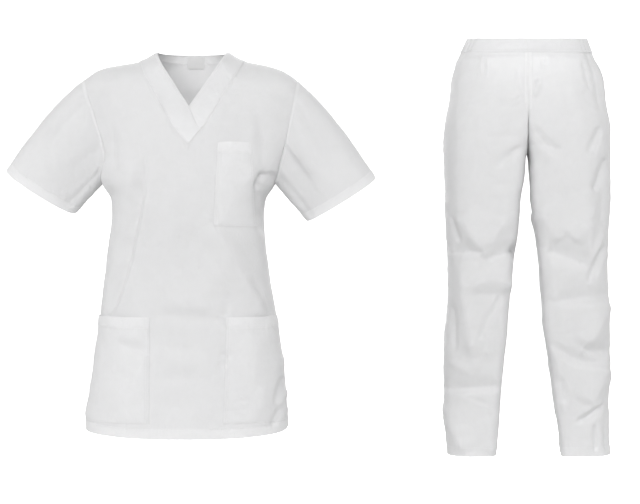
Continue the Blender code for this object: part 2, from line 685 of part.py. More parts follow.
def pocket_gape(rows, columns, deep):
    """How far a pocket stands off its panel: most at the middle of its mouth, nothing along its sewn edges."""
    up = np.linspace(0, 1, rows)[:, None]
    across = np.linspace(0, 1, columns)[None, :]
    return deep * up**2 * np.sin(np.pi * across)


def build_tunic(single, double):
    garment = Garment()
    front, back = front_grid(), back_grid()[:, ::-1]
    right_band = front_band_grid(-1)[:, ::-1]
    left_band = front_band_grid(1)
    back_band = back_band_grid()[:, ::-1]
    sleeves = {side: sleeve_grid(front, back[:, ::-1], side) for side in (-1, 1)}
    sleeves[1] = sleeves[1][:, ::-1]
    for grid in (front, back, right_band, left_band, back_band):
        garment.add(grid)
    for grid in sleeves.values():
        garment.add(grid, ring=True)
    on_front, on_back = garment.normals(front), garment.normals(back)
    hems = (0, NECK_PULL, SEAM_PULL, SEAM_PULL)
    sew("tunic_front", front, on_front, CLOTH, single, hems)
    sew("tunic_back", back, on_back, CLOTH, single, hems)
    sew("sleeve_right", sleeves[-1], garment.normals(sleeves[-1]), CLOTH, single, (SEAM_PULL, 0, 0, 0), True)
    sew("sleeve_left", sleeves[1], garment.normals(sleeves[1]), CLOTH, single, (SEAM_PULL, 0, 0, 0), True)
    for name, grid in (("neck_band_right", right_band), ("neck_band_left", left_band), ("neck_band_back", back_band)):
        sew(name, grid, garment.normals(grid), CLOTH, double, (SEAM_PULL, 0, SEAM_PULL, SEAM_PULL), lift=BAND_LIFT)
    middle = len(FRONT_TOPS)
    pockets = {
        "chest_pocket": (CHEST_POCKET_FOOT, CHEST_LINE, middle + NEAR_COLUMN, middle + FAR_COLUMN),
        "lower_pocket_left": (LOWER_POCKET_FOOT, LOWER_POCKET_TOP, middle + NEAR_COLUMN, 2 * middle),
        "lower_pocket_right": (LOWER_POCKET_FOOT, LOWER_POCKET_TOP, 0, middle - NEAR_COLUMN),
    }
    for name, (foot, top, first, last) in pockets.items():
        part = (slice(LEVELS.index(foot), LEVELS.index(top) + 1), slice(first, last + 1))
        grid = front[part]
        lay(name, grid, on_front[part], POCKET_CLOTH, double, pocket_gape(*grid.shape[:2], POCKET_GAPE))
    build_label(double)


def build_label(material):
    """A plain woven label inside the back of the neck."""
    x = NECK_X + np.linspace(-LABEL_WIDE / 2, LABEL_WIDE / 2, 5)
    rows = [body(x, np.full_like(x, z), 1) for z in np.linspace(-LABEL_LOW - LABEL_TALL, -LABEL_LOW, 3)]
    grid = np.array(rows)
    inward = np.zeros_like(grid)
    inward[..., 1] = -1
    off = CLOTH + LAY_GAP + LABEL_OFF
    wall("neck_label", grid + (off + LABEL_CLOTH) * inward, grid + off * inward, material)


def build_trousers(single, double):
    garment = Garment()
    panels = {}
    for side, hand in ((-1, "right"), (1, "left")):
        for face, where in ((-1, "front"), (1, "back")):
            grid = leg_grid(side, face)
            panels[f"trouser_{where}_{hand}"] = grid if side * face < 0 else grid[:, ::-1]
    for grid in panels.values():
        garment.add(grid)
    for name, grid in panels.items():
        sew(name, grid, garment.normals(grid), CLOTH, single, (SEAM_PULL, 0, SEAM_PULL, SEAM_PULL))
    flat = waist_grid(np.linspace(-join_turn(), join_turn(), FLAT_BAND_CELLS + 1))
    elastic = waist_grid(np.linspace(join_turn(), 1 - join_turn(), 2 * GATHERS + 1))
    garment.add(flat)
    garment.add(elastic)
    edges = (SEAM_PULL, 0, SEAM_PULL, SEAM_PULL)
    sew("waistband_front", flat, garment.normals(flat), WAISTBAND_CLOTH, double, edges)
    normals = garment.normals(elastic)
    grooved = elastic - gathers(*elastic.shape[:2])[..., None] * normals
    sew("waistband_back", grooved, normals, WAISTBAND_CLOTH, double, edges)


def main():
    for obj in list(bpy.data.objects):
        bpy.data.objects.remove(obj)
    single = cloth_material("white_cloth", WHITE)
    double = cloth_material("white_cloth_double", DOUBLE_WHITE)
    build_tunic(single, double)
    build_trousers(single, double)


main()
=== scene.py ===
"""Medical scrubs: the cloth, its folds, sewing and finish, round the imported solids.

Metres, +Z up, -Y to the front.
"""

import math

import bpy
import numpy as np
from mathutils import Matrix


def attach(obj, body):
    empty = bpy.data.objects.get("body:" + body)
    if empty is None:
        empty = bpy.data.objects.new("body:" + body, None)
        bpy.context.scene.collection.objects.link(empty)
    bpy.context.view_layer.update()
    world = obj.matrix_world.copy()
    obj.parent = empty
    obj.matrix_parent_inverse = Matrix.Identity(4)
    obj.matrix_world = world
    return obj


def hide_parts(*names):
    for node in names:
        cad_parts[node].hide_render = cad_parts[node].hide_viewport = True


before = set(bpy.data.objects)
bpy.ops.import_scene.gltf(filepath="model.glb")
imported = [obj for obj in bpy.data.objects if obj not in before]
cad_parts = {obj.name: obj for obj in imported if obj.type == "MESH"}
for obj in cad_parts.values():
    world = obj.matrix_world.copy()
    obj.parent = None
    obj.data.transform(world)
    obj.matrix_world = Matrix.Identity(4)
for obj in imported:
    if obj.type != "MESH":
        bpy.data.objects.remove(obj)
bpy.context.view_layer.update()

# The tunic's sizes, as its solids have them
NECK_X = 0.005
NECK_HALF = 0.070
SHOULDER_Y = 0.004
SHOULDER_ROUND = 0.052
UNDERARM = -0.262
HEM_SIDE = -0.746
HEM_DROP = 0.013
VENT_TOP = -0.678
VENT_OPEN = 0.006
BODY_POWER = 2.6
CHEST_POWER = 2.4
CHEST_RISE = 0.12
CHEST_SAG = 0.028
CHEST_SAG_RISE = 0.08
CHEST_SAG_REACH = 0.45
ARMHOLE_DEEP = {-1: 0.055, 1: 0.052}
ARMHOLE_ROUND = 0.095
ARMHOLE_POWER = 6
SHOULDER_SKEW = 0.005
BACK_NECK_RISE = 0.002
BACK_BAND_TALL = 0.018
BACK_BAND_END = 0.085
CHEST_LINE = -0.188
CHEST_POCKET_FOOT = -0.350
LOWER_POCKET_TOP = -0.525
LOWER_POCKET_FOOT = -0.729
SLEEVE_DEEP = 0.049
CUFF_SWELL = 0.013
CROWN_LIFT = 0.010
SLEEVE_DENT = 0.007
DENT_TURN = 0.95
DENT_WIDE = 0.35
LABEL_WIDE = 0.034
LABEL_TALL = 0.024
OVERLAP = 0.0277

# The trousers' sizes
TROUSERS = np.array([0.7151, 0.30, 0.0])
WAIST_TOP = 0.0705
WAIST_SEAM = 0.0410
FRONT_DIP = 0.013
WAIST_DRAW_RIGHT = 0.0141
WAIST_DRAW_LEFT = 0.0112
WAIST_DRAW_DEEP = 0.004
CROTCH = -0.172
CROTCH_Y = 0.010
TROUSER_HEM = -0.841
LEG_POWER = 2.3
INSEAM_POWER = 6.0
SEAM_LEAN = 0.12
INNER_LEAN = 0.07
CREST_ROUND = 0.0022
GATHERS = 34
WAIST_JOIN = 0.115

# Cloth
STEP = 0.0034
THIN = 0.0007
DOUBLE_THIN = 0.0012
SEAM_HOLD = 0.010
HEM_BAND = 0.019
SLEEVE_BAND = 0.018
TROUSER_BAND = 0.020
POCKET_BAND = 0.021
STITCH_PITCH = 0.0034
STITCH_LONG = 0.0024
THREAD = 0.00028
WEAVE_PITCH = 0.00062
GATHER_PITCH = 0.0135
LABEL_THIN = 0.0004
WAIST_THICK = 0.0016
WAIST_DOUBLE = 0.6
WAIST_ROLL = 0.0010
WAIST_ROLL_WIDE = 0.0014
BAND_ROLL = 0.0012
BAND_ROLL_WIDE = 0.0016
NECK_OVER = 0.0005
POCKET_OFF = 0.0006
SEAM_SINK = 0.0018
HEM_THICK = 0.00045
SLEEVE_THICK = 0.0004
STRIP_WIDE = 0.0062
STRIP_FOOT = -0.112
UPPER_LONG = 0.155
SLEEVE_LONG = 0.19

# Rows of stitches, by their distance from the edge
POCKET_ROW = 0.0016
POCKET_ROW_IN = 0.0066
BAND_OUTER_ROW = 0.0022
BAND_INNER_ROW = 0.0050
SLEEVE_ROW = 0.0030
LEG_ROW = 0.0026
WAIST_ROW = 0.0040

# Flat sizes of the large pieces
TUNIC_FRONT_CUT = (0.60, 0.80)
TUNIC_BACK_CUT = (0.58, 0.80)
SLEEVE_CUT = (0.42, 0.25)
LEG_CUT = (0.34, 0.95)


def table(names, *rows):
    """Rows of numbers under named columns."""
    return dict(zip(names.split(), np.array(rows, float).T))


def lengths(names, *rows):
    """A table whose numbers are all millimetres, kept in metres."""
    return {name: column / 1000 for name, column in table(names, *rows).items()}


TUNIC = lengths(
    "height left right front back centre",
    (-765, -207.5, 195.5, 132, 128, -6),
    (-743, -206.5, 195, 131, 126, -6),
    (-679, -199.2, 191, 128, 121, -5),
    (-615, -191, 185, 125, 113, -4),
    (-551, -181.5, 175, 122, 104, -4),
    (-455, -171, 159, 121, 95, -4),
    (-391, -163, 151, 124, 92, -3),
    (-327, -155, 147, 130, 96, -3),
    (-295, -157, 150, 131, 99, -2),
    (-262, -175, 168, 130, 102, -1),
    (-244, -173.5, 174.5, 128, 104, 0),
    (-209, -164, 184, 123, 105, 2),
    (-159, -175.5, 198, 112, 104, 4),
    (-104, -193, 207.8, 97, 96, 5),
    (-58, -214.4, 214.4, 80, 83, 5),
    (10, -214.4, 214.4, 60, 60, 5),
)
SHOULDER = lengths(
    "out height",
    (70, 0),
    (97.6, -15.5),
    (117.6, -20.5),
    (150, -26.5),
    (180, -35),
    (205, -50),
    (220, -62),
)
V_OUTER = lengths(
    "out height",
    (0, -192),
    (27.7, -156),
    (52, -115),
    (72, -80),
    (90, -50),
    (103.5, -17.2),
)
V_INNER = lengths(
    "out height",
    (-27.7, -156),
    (0, -116.5),
    (32, -68),
    (60, -23),
    (70, 0),
)
GUIDES = lengths(
    "height left_far left_near right_near right_far",
    (-765, -150, -69, 71.5, 148),
    (-525, -140, -69, 78.5, 136),
    (-440, -130, -64, 62, 128),
    (-350, -126, -58, 54.7, 136),
    (-262, -124, -58, 58, 131),
    (-188, -116, -56, 61.8, 125),
)
LEVELS = (
    HEM_SIDE, LOWER_POCKET_FOOT, -0.690, -0.650, -0.608, -0.566, LOWER_POCKET_TOP, -0.488, -0.452, -0.418,
    -0.384, CHEST_POCKET_FOOT, -0.320, -0.290, UNDERARM, -0.243, -0.224, -0.206, CHEST_LINE,
)
UPPER_SHARES = (0.0, 0.18, 0.35, 0.51, 0.65, 0.77, 0.87, 0.95, 1.0)
BAND_OUTS = np.array([0.1035, BACK_BAND_END, 0.0775, NECK_HALF])
BAND_SHARES = (BAND_OUTS[0] - BAND_OUTS) / (BAND_OUTS[0] - NECK_HALF)
V_STOPS = (0.0, *(OVERLAP * BAND_SHARES[1:]), 0.044, 0.060, 0.075, 0.089, BAND_OUTS[0])
SHOULDER_STOPS = (0.125, 0.150, 0.175, 0.197, 0.2144)
FRONT_TOPS = V_STOPS[1:] + SHOULDER_STOPS
BACK_BAND_STOPS = (0.022, 0.044, 0.066, BACK_BAND_END)
BACK_TOPS = BACK_BAND_STOPS + (BAND_OUTS[0],) + SHOULDER_STOPS
NEAR_COLUMN = 5
FAR_COLUMN = 9
EDGE_SHARES = (0.40, 0.72, 0.92, 1.0)
CUFF = {
    -1: (np.array([-0.366, 0.004, -0.230]), np.array([-0.228, 0.004, -0.318])),
    1: (np.array([0.3676, 0.004, -0.2466]), np.array([0.2290, 0.004, -0.333])),
}

LEGS = lengths(
    "height outer_left inner_left inner_right outer_right front back",
    (-845, -176.7, -68.9, 74.1, 181.5, 66, 68),
    (-777, -181.1, -62.3, 67.5, 179, 70, 73),
    (-707, -183.3, -57.9, 56.5, 177.5, 76, 80),
    (-637, -184.4, -51.3, 47.7, 181.5, 81, 86),
    (-566, -181.1, -44.7, 36.7, 179.7, 87, 91),
    (-496, -174.5, -38.1, 32.3, 177.5, 92, 95),
    (-425, -174.5, -31.5, 25.7, 175.5, 98, 99),
    (-355, -180, -20.5, 19.1, 178, 105, 104),
    (-285, -181.1, -15, 9, 181.5, 112, 110),
    (-230, -180, -7, 5.5, 181.2, 117, 117),
    (-195, -181.5, -4.5, 3.5, 181.9, 120, 123),
    (-172, -182, 0, 0, 181.9, 122, 127),
    (-126, -181.1, 0, 0, 181.9, 123, 131),
    (-91, -176.7, 0, 0, 175.3, 120, 129),
    (-56, -170.1, 0, 0, 168.7, 116, 121),
    (-21, -165.7, 0, 0, 164.3, 111, 109),
    (15, -157.5, 0, 0, 151, 105, 95),
    (41, -145.9, 0, 0, 141.2, 99, 84),
)
RISE = table(
    "height front back peak",
    (-0.172, 0.010, 0.010, 0.52),
    (-0.160, -0.038, 0.048, 0.53),
    (-0.140, -0.082, 0.080, 0.56),
    (-0.120, -0.106, 0.099, 0.60),
    (-0.090, -0.117, 0.113, 0.68),
    (-0.050, -0.1150, 0.113, 0.80),
    (0.041, -0.099, 0.084, 1.00),
)

# Creases: start, end, sideways bow, half width, height out of the cloth, below nothing for a trough,
# and the height of the ridge beside it, on the side that its sign says.
CREASE_COLUMNS = "x0 z0 x1 z1 bow wide out ridge"
FRONT_CREASES = lengths(
    CREASE_COLUMNS,
    (138, -120, 148, -262, -4, 10, -3.5, 1.75),
    (-146, -150, -128, -262, 4, 9, -3, -1.5),
    (-68, -522, 78, -532, -4, 12, -2.2, 1.32),
    (-66, -574, 40, -590, 4, 12, -2.4, 1.44),
    (-62, -640, 50, -646, -3, 12, -2.2, 1.32),
    (-12, -210, -50, -330, 6, 24, -2.8, 0),
    (20, -360, -10, -460, 6, 24, -2.4, 0),
)
BACK_CREASES = lengths(
    CREASE_COLUMNS,
    (-40, -560, 20, -740, 8, 22, 5, 0),
    (80, -570, 110, -735, -6, 18, -4, 2),
    (-110, -580, -140, -735, 6, 18, -4, -2),
    (-150, -120, -120, -262, 6, 11, -6, 3),
    (158, -120, 130, -262, -6, 11, -6, -3),
    (-60, -75, 60, -78, -10, 20, -2, 0),
)
# Sharper folds: a crest, or below nothing a valley, from start to end with a sideways bow.
# It slopes off over its own width on the left hand and on the right hand of someone who goes along it.
FACET_COLUMNS = "x0 z0 x1 z1 bow left right out"
FRONT_FACETS = lengths(
    FACET_COLUMNS,
    (-79, -234, -152, -520, -9.5, 9, 25, -15),
    (-89, -284, -108, -388, -5, 40, 18, 3),
    (53, -342, 153, -528, 2, 24, 45, 11),
    (123, -446, 164, -527, 0, 10, 14, -5),
    (83, -476, 78, -526, 0, 8, 8, -3),
    (-43, -503, 55, -507, 0, 34, 18, 4),
    (-132, -573, -70, -593, 0, 12, 8, -4),
    (-158, -563, -74, -565, 0, 16, 16, 2),
    (59, -526, 82, -542, 0, 6, 7, -4),
    (70, -591, 88, -603, 0, 6, 6, -3),
    (65, -611, 80, -620, 0, 6, 6, -3),
    (187, -644, 175, -696, 2, 8, 8, -6),
    (197, -673, 175, -696, 0, 6, 8, 4),
    (182, -703, 167, -734, 0, 7, 7, -5),
    (123, -550, 146, -724, 0, 24, 26, 4),
    (-131, -665, -110, -737, 0, 24, 26, 3),
    (-191, -261, -175, -315, 0, 10, 10, -6),
    (152, -244, 138, -279, 0, 9, 9, -9),
    (138, -264, 148, -368, 0, 9, 12, -6),
    (171, -249, 146, -256, 0, 8, 8, -8),
)
BACK_FACETS = lengths(
    FACET_COLUMNS,
    (-82, -236, -152, -520, -12, 12, 10, -8),
    (76, -240, 143, -515, 12, 10, 12, -8),
    (-100, -386, 30, -412, -6, 12, 20, -5),
    (96, -396, -20, -430, 6, 18, 12, -4.5),
    (-50, -452, 50, -462, 4, 12, 22, -3.5),
)
LEG_FACETS = lengths(
    FACET_COLUMNS,
    (-160, -82, -158, -320, 0, 60, 22, 6),
    (-158, -316, -113, -399, 1, 45, 20, 10.1),
    (-175, -321, -158, -380, 0, 7, 7, -5),
    (-174, -399, -109, -399, 0, 30, 8, -9.8),
    (-67, -257, -64, -340, 0, 30, 40, 4),
    (-64, -327, -107, -412, -1, 24, 60, 12.5),
    (-104, -414, -23, -397, 0, 34, 10, -12.6),
    (-135, -474, -42, -473, -14, 34, 26, 11.2),
    (-129, -489, -41, -489, 0, 8, 22, -3),
    (-152, -417, -128, -627, 3, 40, 24, 12.3),
    (-168, -510, -167, -615, 0, 9, 9, -5),
    (-70, -494, -118, -588, 0, 9, 9, -7.8),
    (-94, -571, -96, -623, 0, 9, 9, 4),
    (-135, -588, -126, -657, 0, 16, 14, 4),
    (-175, -636, -126, -664, 0, 14, 12, 5),
    (-184, -696, -69, -690, 0, 24, 10, -14),
    (-140, -709, -90, -729, 1, 6, 7, -3),
    (-181, -729, -144, -833, 4, 45, 17, 7.8),
    (-94, -751, -86, -834, 0, 14, 36, 5),
    (-27, -175, -81, -217, 1, 9, 9, -7.8),
    (-107, -157, -33, -154, 0, 13, 13, -3),
    (-80, -78, -41, -83, 0, 9, 9, -4),
    (-43, -85, -24, -68, -2, 4, 5, -4),
    (-35, -6, -28, -60, 0, 12, 9, -4),
    (-111, 17, -112, -23, 0, 5, 4, 3),
    (-105, 17, -108, -23, 0, 4, 4, -3),
    (-99, 14, -100, -23, 0, 4, 5, 2.5),
    (-5, -128, 59, -187, 9, 10, 14, -7.8),
    (13, -173, 56, -223, 0, 10, 16, 4),
    (12, -307, 57, -376, 0, 50, 22, 10.1),
    (116, -338, 85, -378, 0, 26, 46, 12.3),
    (27, -395, 116, -429, 0, 36, 16, -14),
    (21, -316, 30, -408, 0, 14, 14, 4),
    (119, -331, 116, -410, 0, 22, 16, 7.8),
    (155, -354, 118, -423, 0, 8, 9, 6),
    (162, -384, 121, -461, 0, 10, 10, -10.1),
    (50, -505, 170, -495, 0, 30, 12, -14),
    (170, -506, 112, -607, 0, 32, 58, 12.5),
    (108, -610, 173, -616, 0, 20, 16, -12.6),
    (101, -610, 146, -632, 0, 6, 6, 4),
    (41, -421, 47, -507, 0, 30, 18, 5),
    (63, -502, 68, -576, 0, 30, 30, 4),
    (41, -597, 150, -638, 12, 18, 13, -11.2),
    (49, -597, 57, -671, 0, 14, 12, 4),
    (163, -646, 122, -731, 0, 34, 52, 12.5),
    (154, -730, 98, -766, -4, 9, 10, -11.2),
    (149, -723, 103, -748, 0, 8, 8, 5),
    (136, -770, 139, -831, 0, 8, 7, -6),
    (162, -746, 165, -833, 0, 8, 7, -5),
    (62, -673, 72, -724, 0, 10, 10, -4),
    (67, -721, 70, -749, 0, 4, 4, 3),
    (9, -32, -5, -73, 0, 10, 6, -7.8),
    (23, 18, 22, -4, 0, 6, 6, -3),
    (110, 8, 122, -52, 0, 10, 9, -4),
    (118, 47, 145, -88, -6, 12, 12, -5),
    (146, -133, 116, -191, 0, 10, 13, -9),
    (164, -198, 133, -272, 0, 12, 18, -11.2),
    (153, -245, 152, -344, 0, 14, 20, -6),
    (155, 23, 158, -66, 0, 26, 16, 3),
)
SEAT_FACETS = lengths(
    FACET_COLUMNS,
    (-12, -150, -110, -225, 10, 12, 16, -8),
    (12, -150, 105, -235, -10, 16, 12, -8),
    (-14, -190, -85, -270, 6, 10, 14, -5),
    (14, -195, 80, -275, -6, 14, 10, -5),
    (-20, -168, -95, -244, 8, 14, 14, 3),
    (20, -170, 92, -252, -8, 14, 14, 3),
    (-172, -270, -80, -300, 6, 20, 9, -6),
    (172, -290, 90, -322, -6, 9, 20, -6),
    (-172, -386, -46, -442, -8, 22, 10, -8.5),
    (170, -378, 46, -438, 8, 10, 22, -8.5),
    (-160, -416, -60, -462, 6, 30, 16, 4),
    (160, -410, 60, -466, -6, 16, 30, 4),
    (-150, -452, -70, -474, 4, 14, 10, -5.5),
    (152, -446, 66, -478, -4, 10, 14, -5.5),
    (-60, -496, -170, -552, 6, 10, 20, -8),
    (50, -505, 168, -566, -6, 20, 10, -8),
    (-155, -560, -100, -640, 4, 40, 20, 4.5),
    (155, -575, 95, -650, -4, 20, 40, 4.5),
    (-168, -636, -75, -666, 4, 18, 9, -6.5),
    (170, -646, 80, -672, -4, 9, 18, -6.5),
    (-166, -720, -90, -760, 4, 16, 9, -5),
    (168, -730, 90, -764, -4, 9, 16, -5),
    (-150, -90, -158, -300, 0, 24, 45, 4),
    (150, -90, 158, -300, 0, 45, 24, 4),
    (-128, -700, -120, -815, 4, 30, 30, 3),
    (124, -700, 118, -815, -4, 30, 30, 3),
)
SLEEVE_CREASES = table(
    "turn0 along0 turn1 along1 wide out",
    (1.10, 0.02, 1.30, 0.60, 0.16, -0.0028),
    (1.75, 0.05, 1.70, 0.80, 0.26, 0.0030),
    (2.25, 0.00, 2.05, 0.55, 0.16, -0.0024),
    (0.52, 0.06, 0.66, 0.92, 0.15, -0.0034),
    (4.10, 0.02, 4.30, 0.75, 0.18, -0.0045),
    (4.80, 0.05, 4.75, 0.85, 0.20, 0.0040),
    (5.50, 0.05, 5.60, 1.00, 0.15, -0.0045),
    (3.30, 0.05, 3.25, 0.55, 0.16, -0.0015),
)


def along(rows, name, at, key="height"):
    """A table's column at any value of its key, on a smooth curve with no overshoot."""
    xs, ys = rows[key], rows[name]
    rates = np.diff(ys) / np.diff(xs)
    before, after = rates[:-1], rates[1:]
    both = before + after
    level = (before * after <= 0) | (both == 0)
    middle = np.where(level, 0, 2 * before * after / np.where(level, 1, both))
    slopes = np.concatenate([rates[:1], middle, rates[-1:]])
    at = np.clip(at, xs[0], xs[-1])
    i = np.clip(np.searchsorted(xs, at) - 1, 0, len(xs) - 2)
    span = xs[i + 1] - xs[i]
    t = (at - xs[i]) / span
    return (
        ys[i] * (1 + 2 * t) * (1 - t) ** 2
        + ys[i + 1] * t**2 * (3 - 2 * t)
        + slopes[i] * span * t * (1 - t) ** 2
        - slopes[i + 1] * span * t**2 * (1 - t)
    )


def ease(t):
    t = np.clip(t, 0, 1)
    return t * t * (3 - 2 * t)


def running(steps):
    """The sum of the steps up to each place, from 0."""
    return np.concatenate([[0], np.cumsum(steps)])


def gaps(points):
    """The distance from each point of a row to the next."""
    return np.linalg.norm(np.diff(points, axis=0), axis=1)


def bell(off, wide):
    """1 at nothing, fading away past that width."""
    return np.exp(-((off / wide) ** 2))


def round_in(t):
    """A quarter circle, steep at 0 and level at 1."""
    return np.sqrt(1 - (1 - np.clip(t, 0, 1)) ** 2)


def oval(share, power):
    """Depth of a squarish oval, 1 at its middle and 0 at its edge."""
    return (1 - np.clip(np.abs(share), 0, 1) ** power) ** (1 / power)


def by_line(x, z, x0, z0, x1, z1, bow):
    """Where points lie by a bowed line: how far along it, to its right, and past its ends."""
    run, rise = x1 - x0, z1 - z0
    length = math.hypot(run, rise)
    t = ((x - x0) * run + (z - z0) * rise) / length**2
    inside = np.clip(t, 0, 1)
    right = ((x - x0) * rise - (z - z0) * run) / length - bow * 4 * inside * (1 - inside)
    return inside, right, np.maximum(np.maximum(-t, t - 1), 0) * length


def creases(rows, x, z):
    """How far all the creases of a table lift the cloth at x, z."""
    total = np.zeros(np.broadcast(x, z).shape)
    for *line, wide, out, ridge in zip(*rows.values()):
        inside, off, beyond = by_line(x, z, *line)
        taper = (0.25 + 0.75 * np.sin(np.pi * inside)) * bell(beyond, 1.8 * wide)
        trough = np.exp(-((np.abs(off) / wide) ** 1.7))
        side = np.sign(ridge) * 1.9 * wide
        total = total + taper * (out * trough + abs(ridge) * bell(off - side, 1.3 * wide))
    return total


def facets(rows, x, z, rounding):
    """How far all the sharper folds of a table lift the cloth at x, z."""
    total = np.zeros(np.broadcast(x, z).shape)
    for *line, left, right, out in zip(*rows.values()):
        inside, off, beyond = by_line(x, z, *line)
        reach = np.where(off > 0, right, left)
        narrow = 0.55 + 0.45 * np.sin(np.pi * inside) ** 0.7
        share = (np.hypot(off, rounding) - rounding) / (reach * narrow)
        slope = np.maximum(1 - 0.5 * (share + 1.12 - np.hypot(share - 0.95, 0.35)), 0)
        ends = ease(4 * inside + 0.3) * ease(4 * (1 - inside) + 0.3) * bell(beyond, 0.5 * reach)
        total = total + out * slope * ends
    return total


def billow(u, v, seed, size, high):
    """Broad, uneven swells: a sum of a few waves with seeded directions and phases."""
    random = np.random.default_rng(seed)
    total = np.zeros(np.broadcast(u, v).shape)
    for octave in range(3):
        for _ in range(5):
            turn = random.uniform(0, np.pi)
            phase = random.uniform(0, 2 * np.pi)
            wave = 2 * np.pi / (size / 1.9**octave * random.uniform(0.7, 1.4))
            bend = 0.35 * np.sin(0.45 * wave * (v * np.cos(turn) - u * np.sin(turn)) + 2 * phase)
            ahead = wave * (u * np.cos(turn) + v * np.sin(turn))
            total = total + 0.55**octave * np.sin(ahead + phase + bend)
    return high * total / 4


def shoulder_height(x):
    """Height of the shoulder seam over x. It climbs inside the neck, to round the neckline from above."""
    out = np.abs(x - NECK_X)
    outward = ease((out - BAND_OUTS[0]) / (SHOULDER_STOPS[2] - BAND_OUTS[0]))
    seam = along(SHOULDER, "height", out + SHOULDER_SKEW * np.sign(x - NECK_X) * outward, key="out")
    return np.where(out < NECK_HALF, SHOULDER_ROUND * (1 - out / NECK_HALF), seam)


def body(x, z, face):
    """Points of the tunic's smooth surface: face is -1 for the front and 1 for the back."""
    centre = along(TUNIC, "centre", z)
    edge = np.where(x > centre, along(TUNIC, "right", z), along(TUNIC, "left", z))
    share = np.clip((x - centre) / (edge - centre), 0, 1)
    chest = ease((z - UNDERARM) / CHEST_RISE)
    shape = (1 - chest) * oval(share, BODY_POWER) + chest * (1 - share**CHEST_POWER)
    deep = along(TUNIC, "front" if face < 0 else "back", z)
    at_once = share**ARMHOLE_POWER
    rise = (z - UNDERARM) / ARMHOLE_ROUND
    side = ARMHOLE_DEEP[face] * (at_once * round_in(rise) + (1 - at_once) * ease((rise + 1) / 2))
    out = side + (deep - side) * shape
    top = round_in((shoulder_height(x) - z) / SHOULDER_ROUND)
    vent = VENT_OPEN * ease((VENT_TOP - z) / (VENT_TOP - HEM_SIDE)) * share**12
    y = SHOULDER_Y + (face * out - SHOULDER_Y) * top + face * vent
    return np.stack([np.broadcast_to(x, y.shape), y, np.broadcast_to(z, y.shape)], axis=-1)


def limits(tops):
    """x of a panel's guide columns at its top edge, from their distances out."""
    outs = np.asarray(tops)
    both = np.concatenate([NECK_X - outs[::-1], [NECK_X], NECK_X + outs])
    return np.clip(both, TUNIC["left"][-1], TUNIC["right"][-1])


def half_columns(near, far, edge, centre):
    inner = np.linspace(centre, near, NEAR_COLUMN + 1)[1:]
    middle = np.linspace(near, far, FAR_COLUMN - NEAR_COLUMN + 1)[1:]
    return np.concatenate([inner, middle, far + np.array(EDGE_SHARES) * (edge - far)])


def front_columns(z):
    """x of every guide column of the front at height z."""
    centre = along(TUNIC, "centre", z)
    halves = []
    for hand in ("left", "right"):
        near, far = along(GUIDES, hand + "_near", z), along(GUIDES, hand + "_far", z)
        halves.append(half_columns(near, far, along(TUNIC, hand, z), centre))
    return np.concatenate([halves[0][::-1], [centre], halves[1]])


def back_columns(z):
    """x of every guide column of the back at height z."""
    centre = along(TUNIC, "centre", z)
    shares = np.sin(np.pi / 2 * np.arange(1, len(BACK_TOPS) + 1) / len(BACK_TOPS))
    left = centre + shares * (along(TUNIC, "left", z) - centre)
    right = centre + shares * (along(TUNIC, "right", z) - centre)
    return np.concatenate([left[::-1], [centre], right])


def stops(lengths_of, step=STEP):
    """Fine index positions that cut guide cells into even steps, and where each guide line lies in them."""
    counts = np.maximum(1, np.round(np.asarray(lengths_of) / step)).astype(int)
    fine = np.concatenate([i + np.arange(n) / n for i, n in enumerate(counts)] + [[len(counts)]])
    return fine, running(counts)


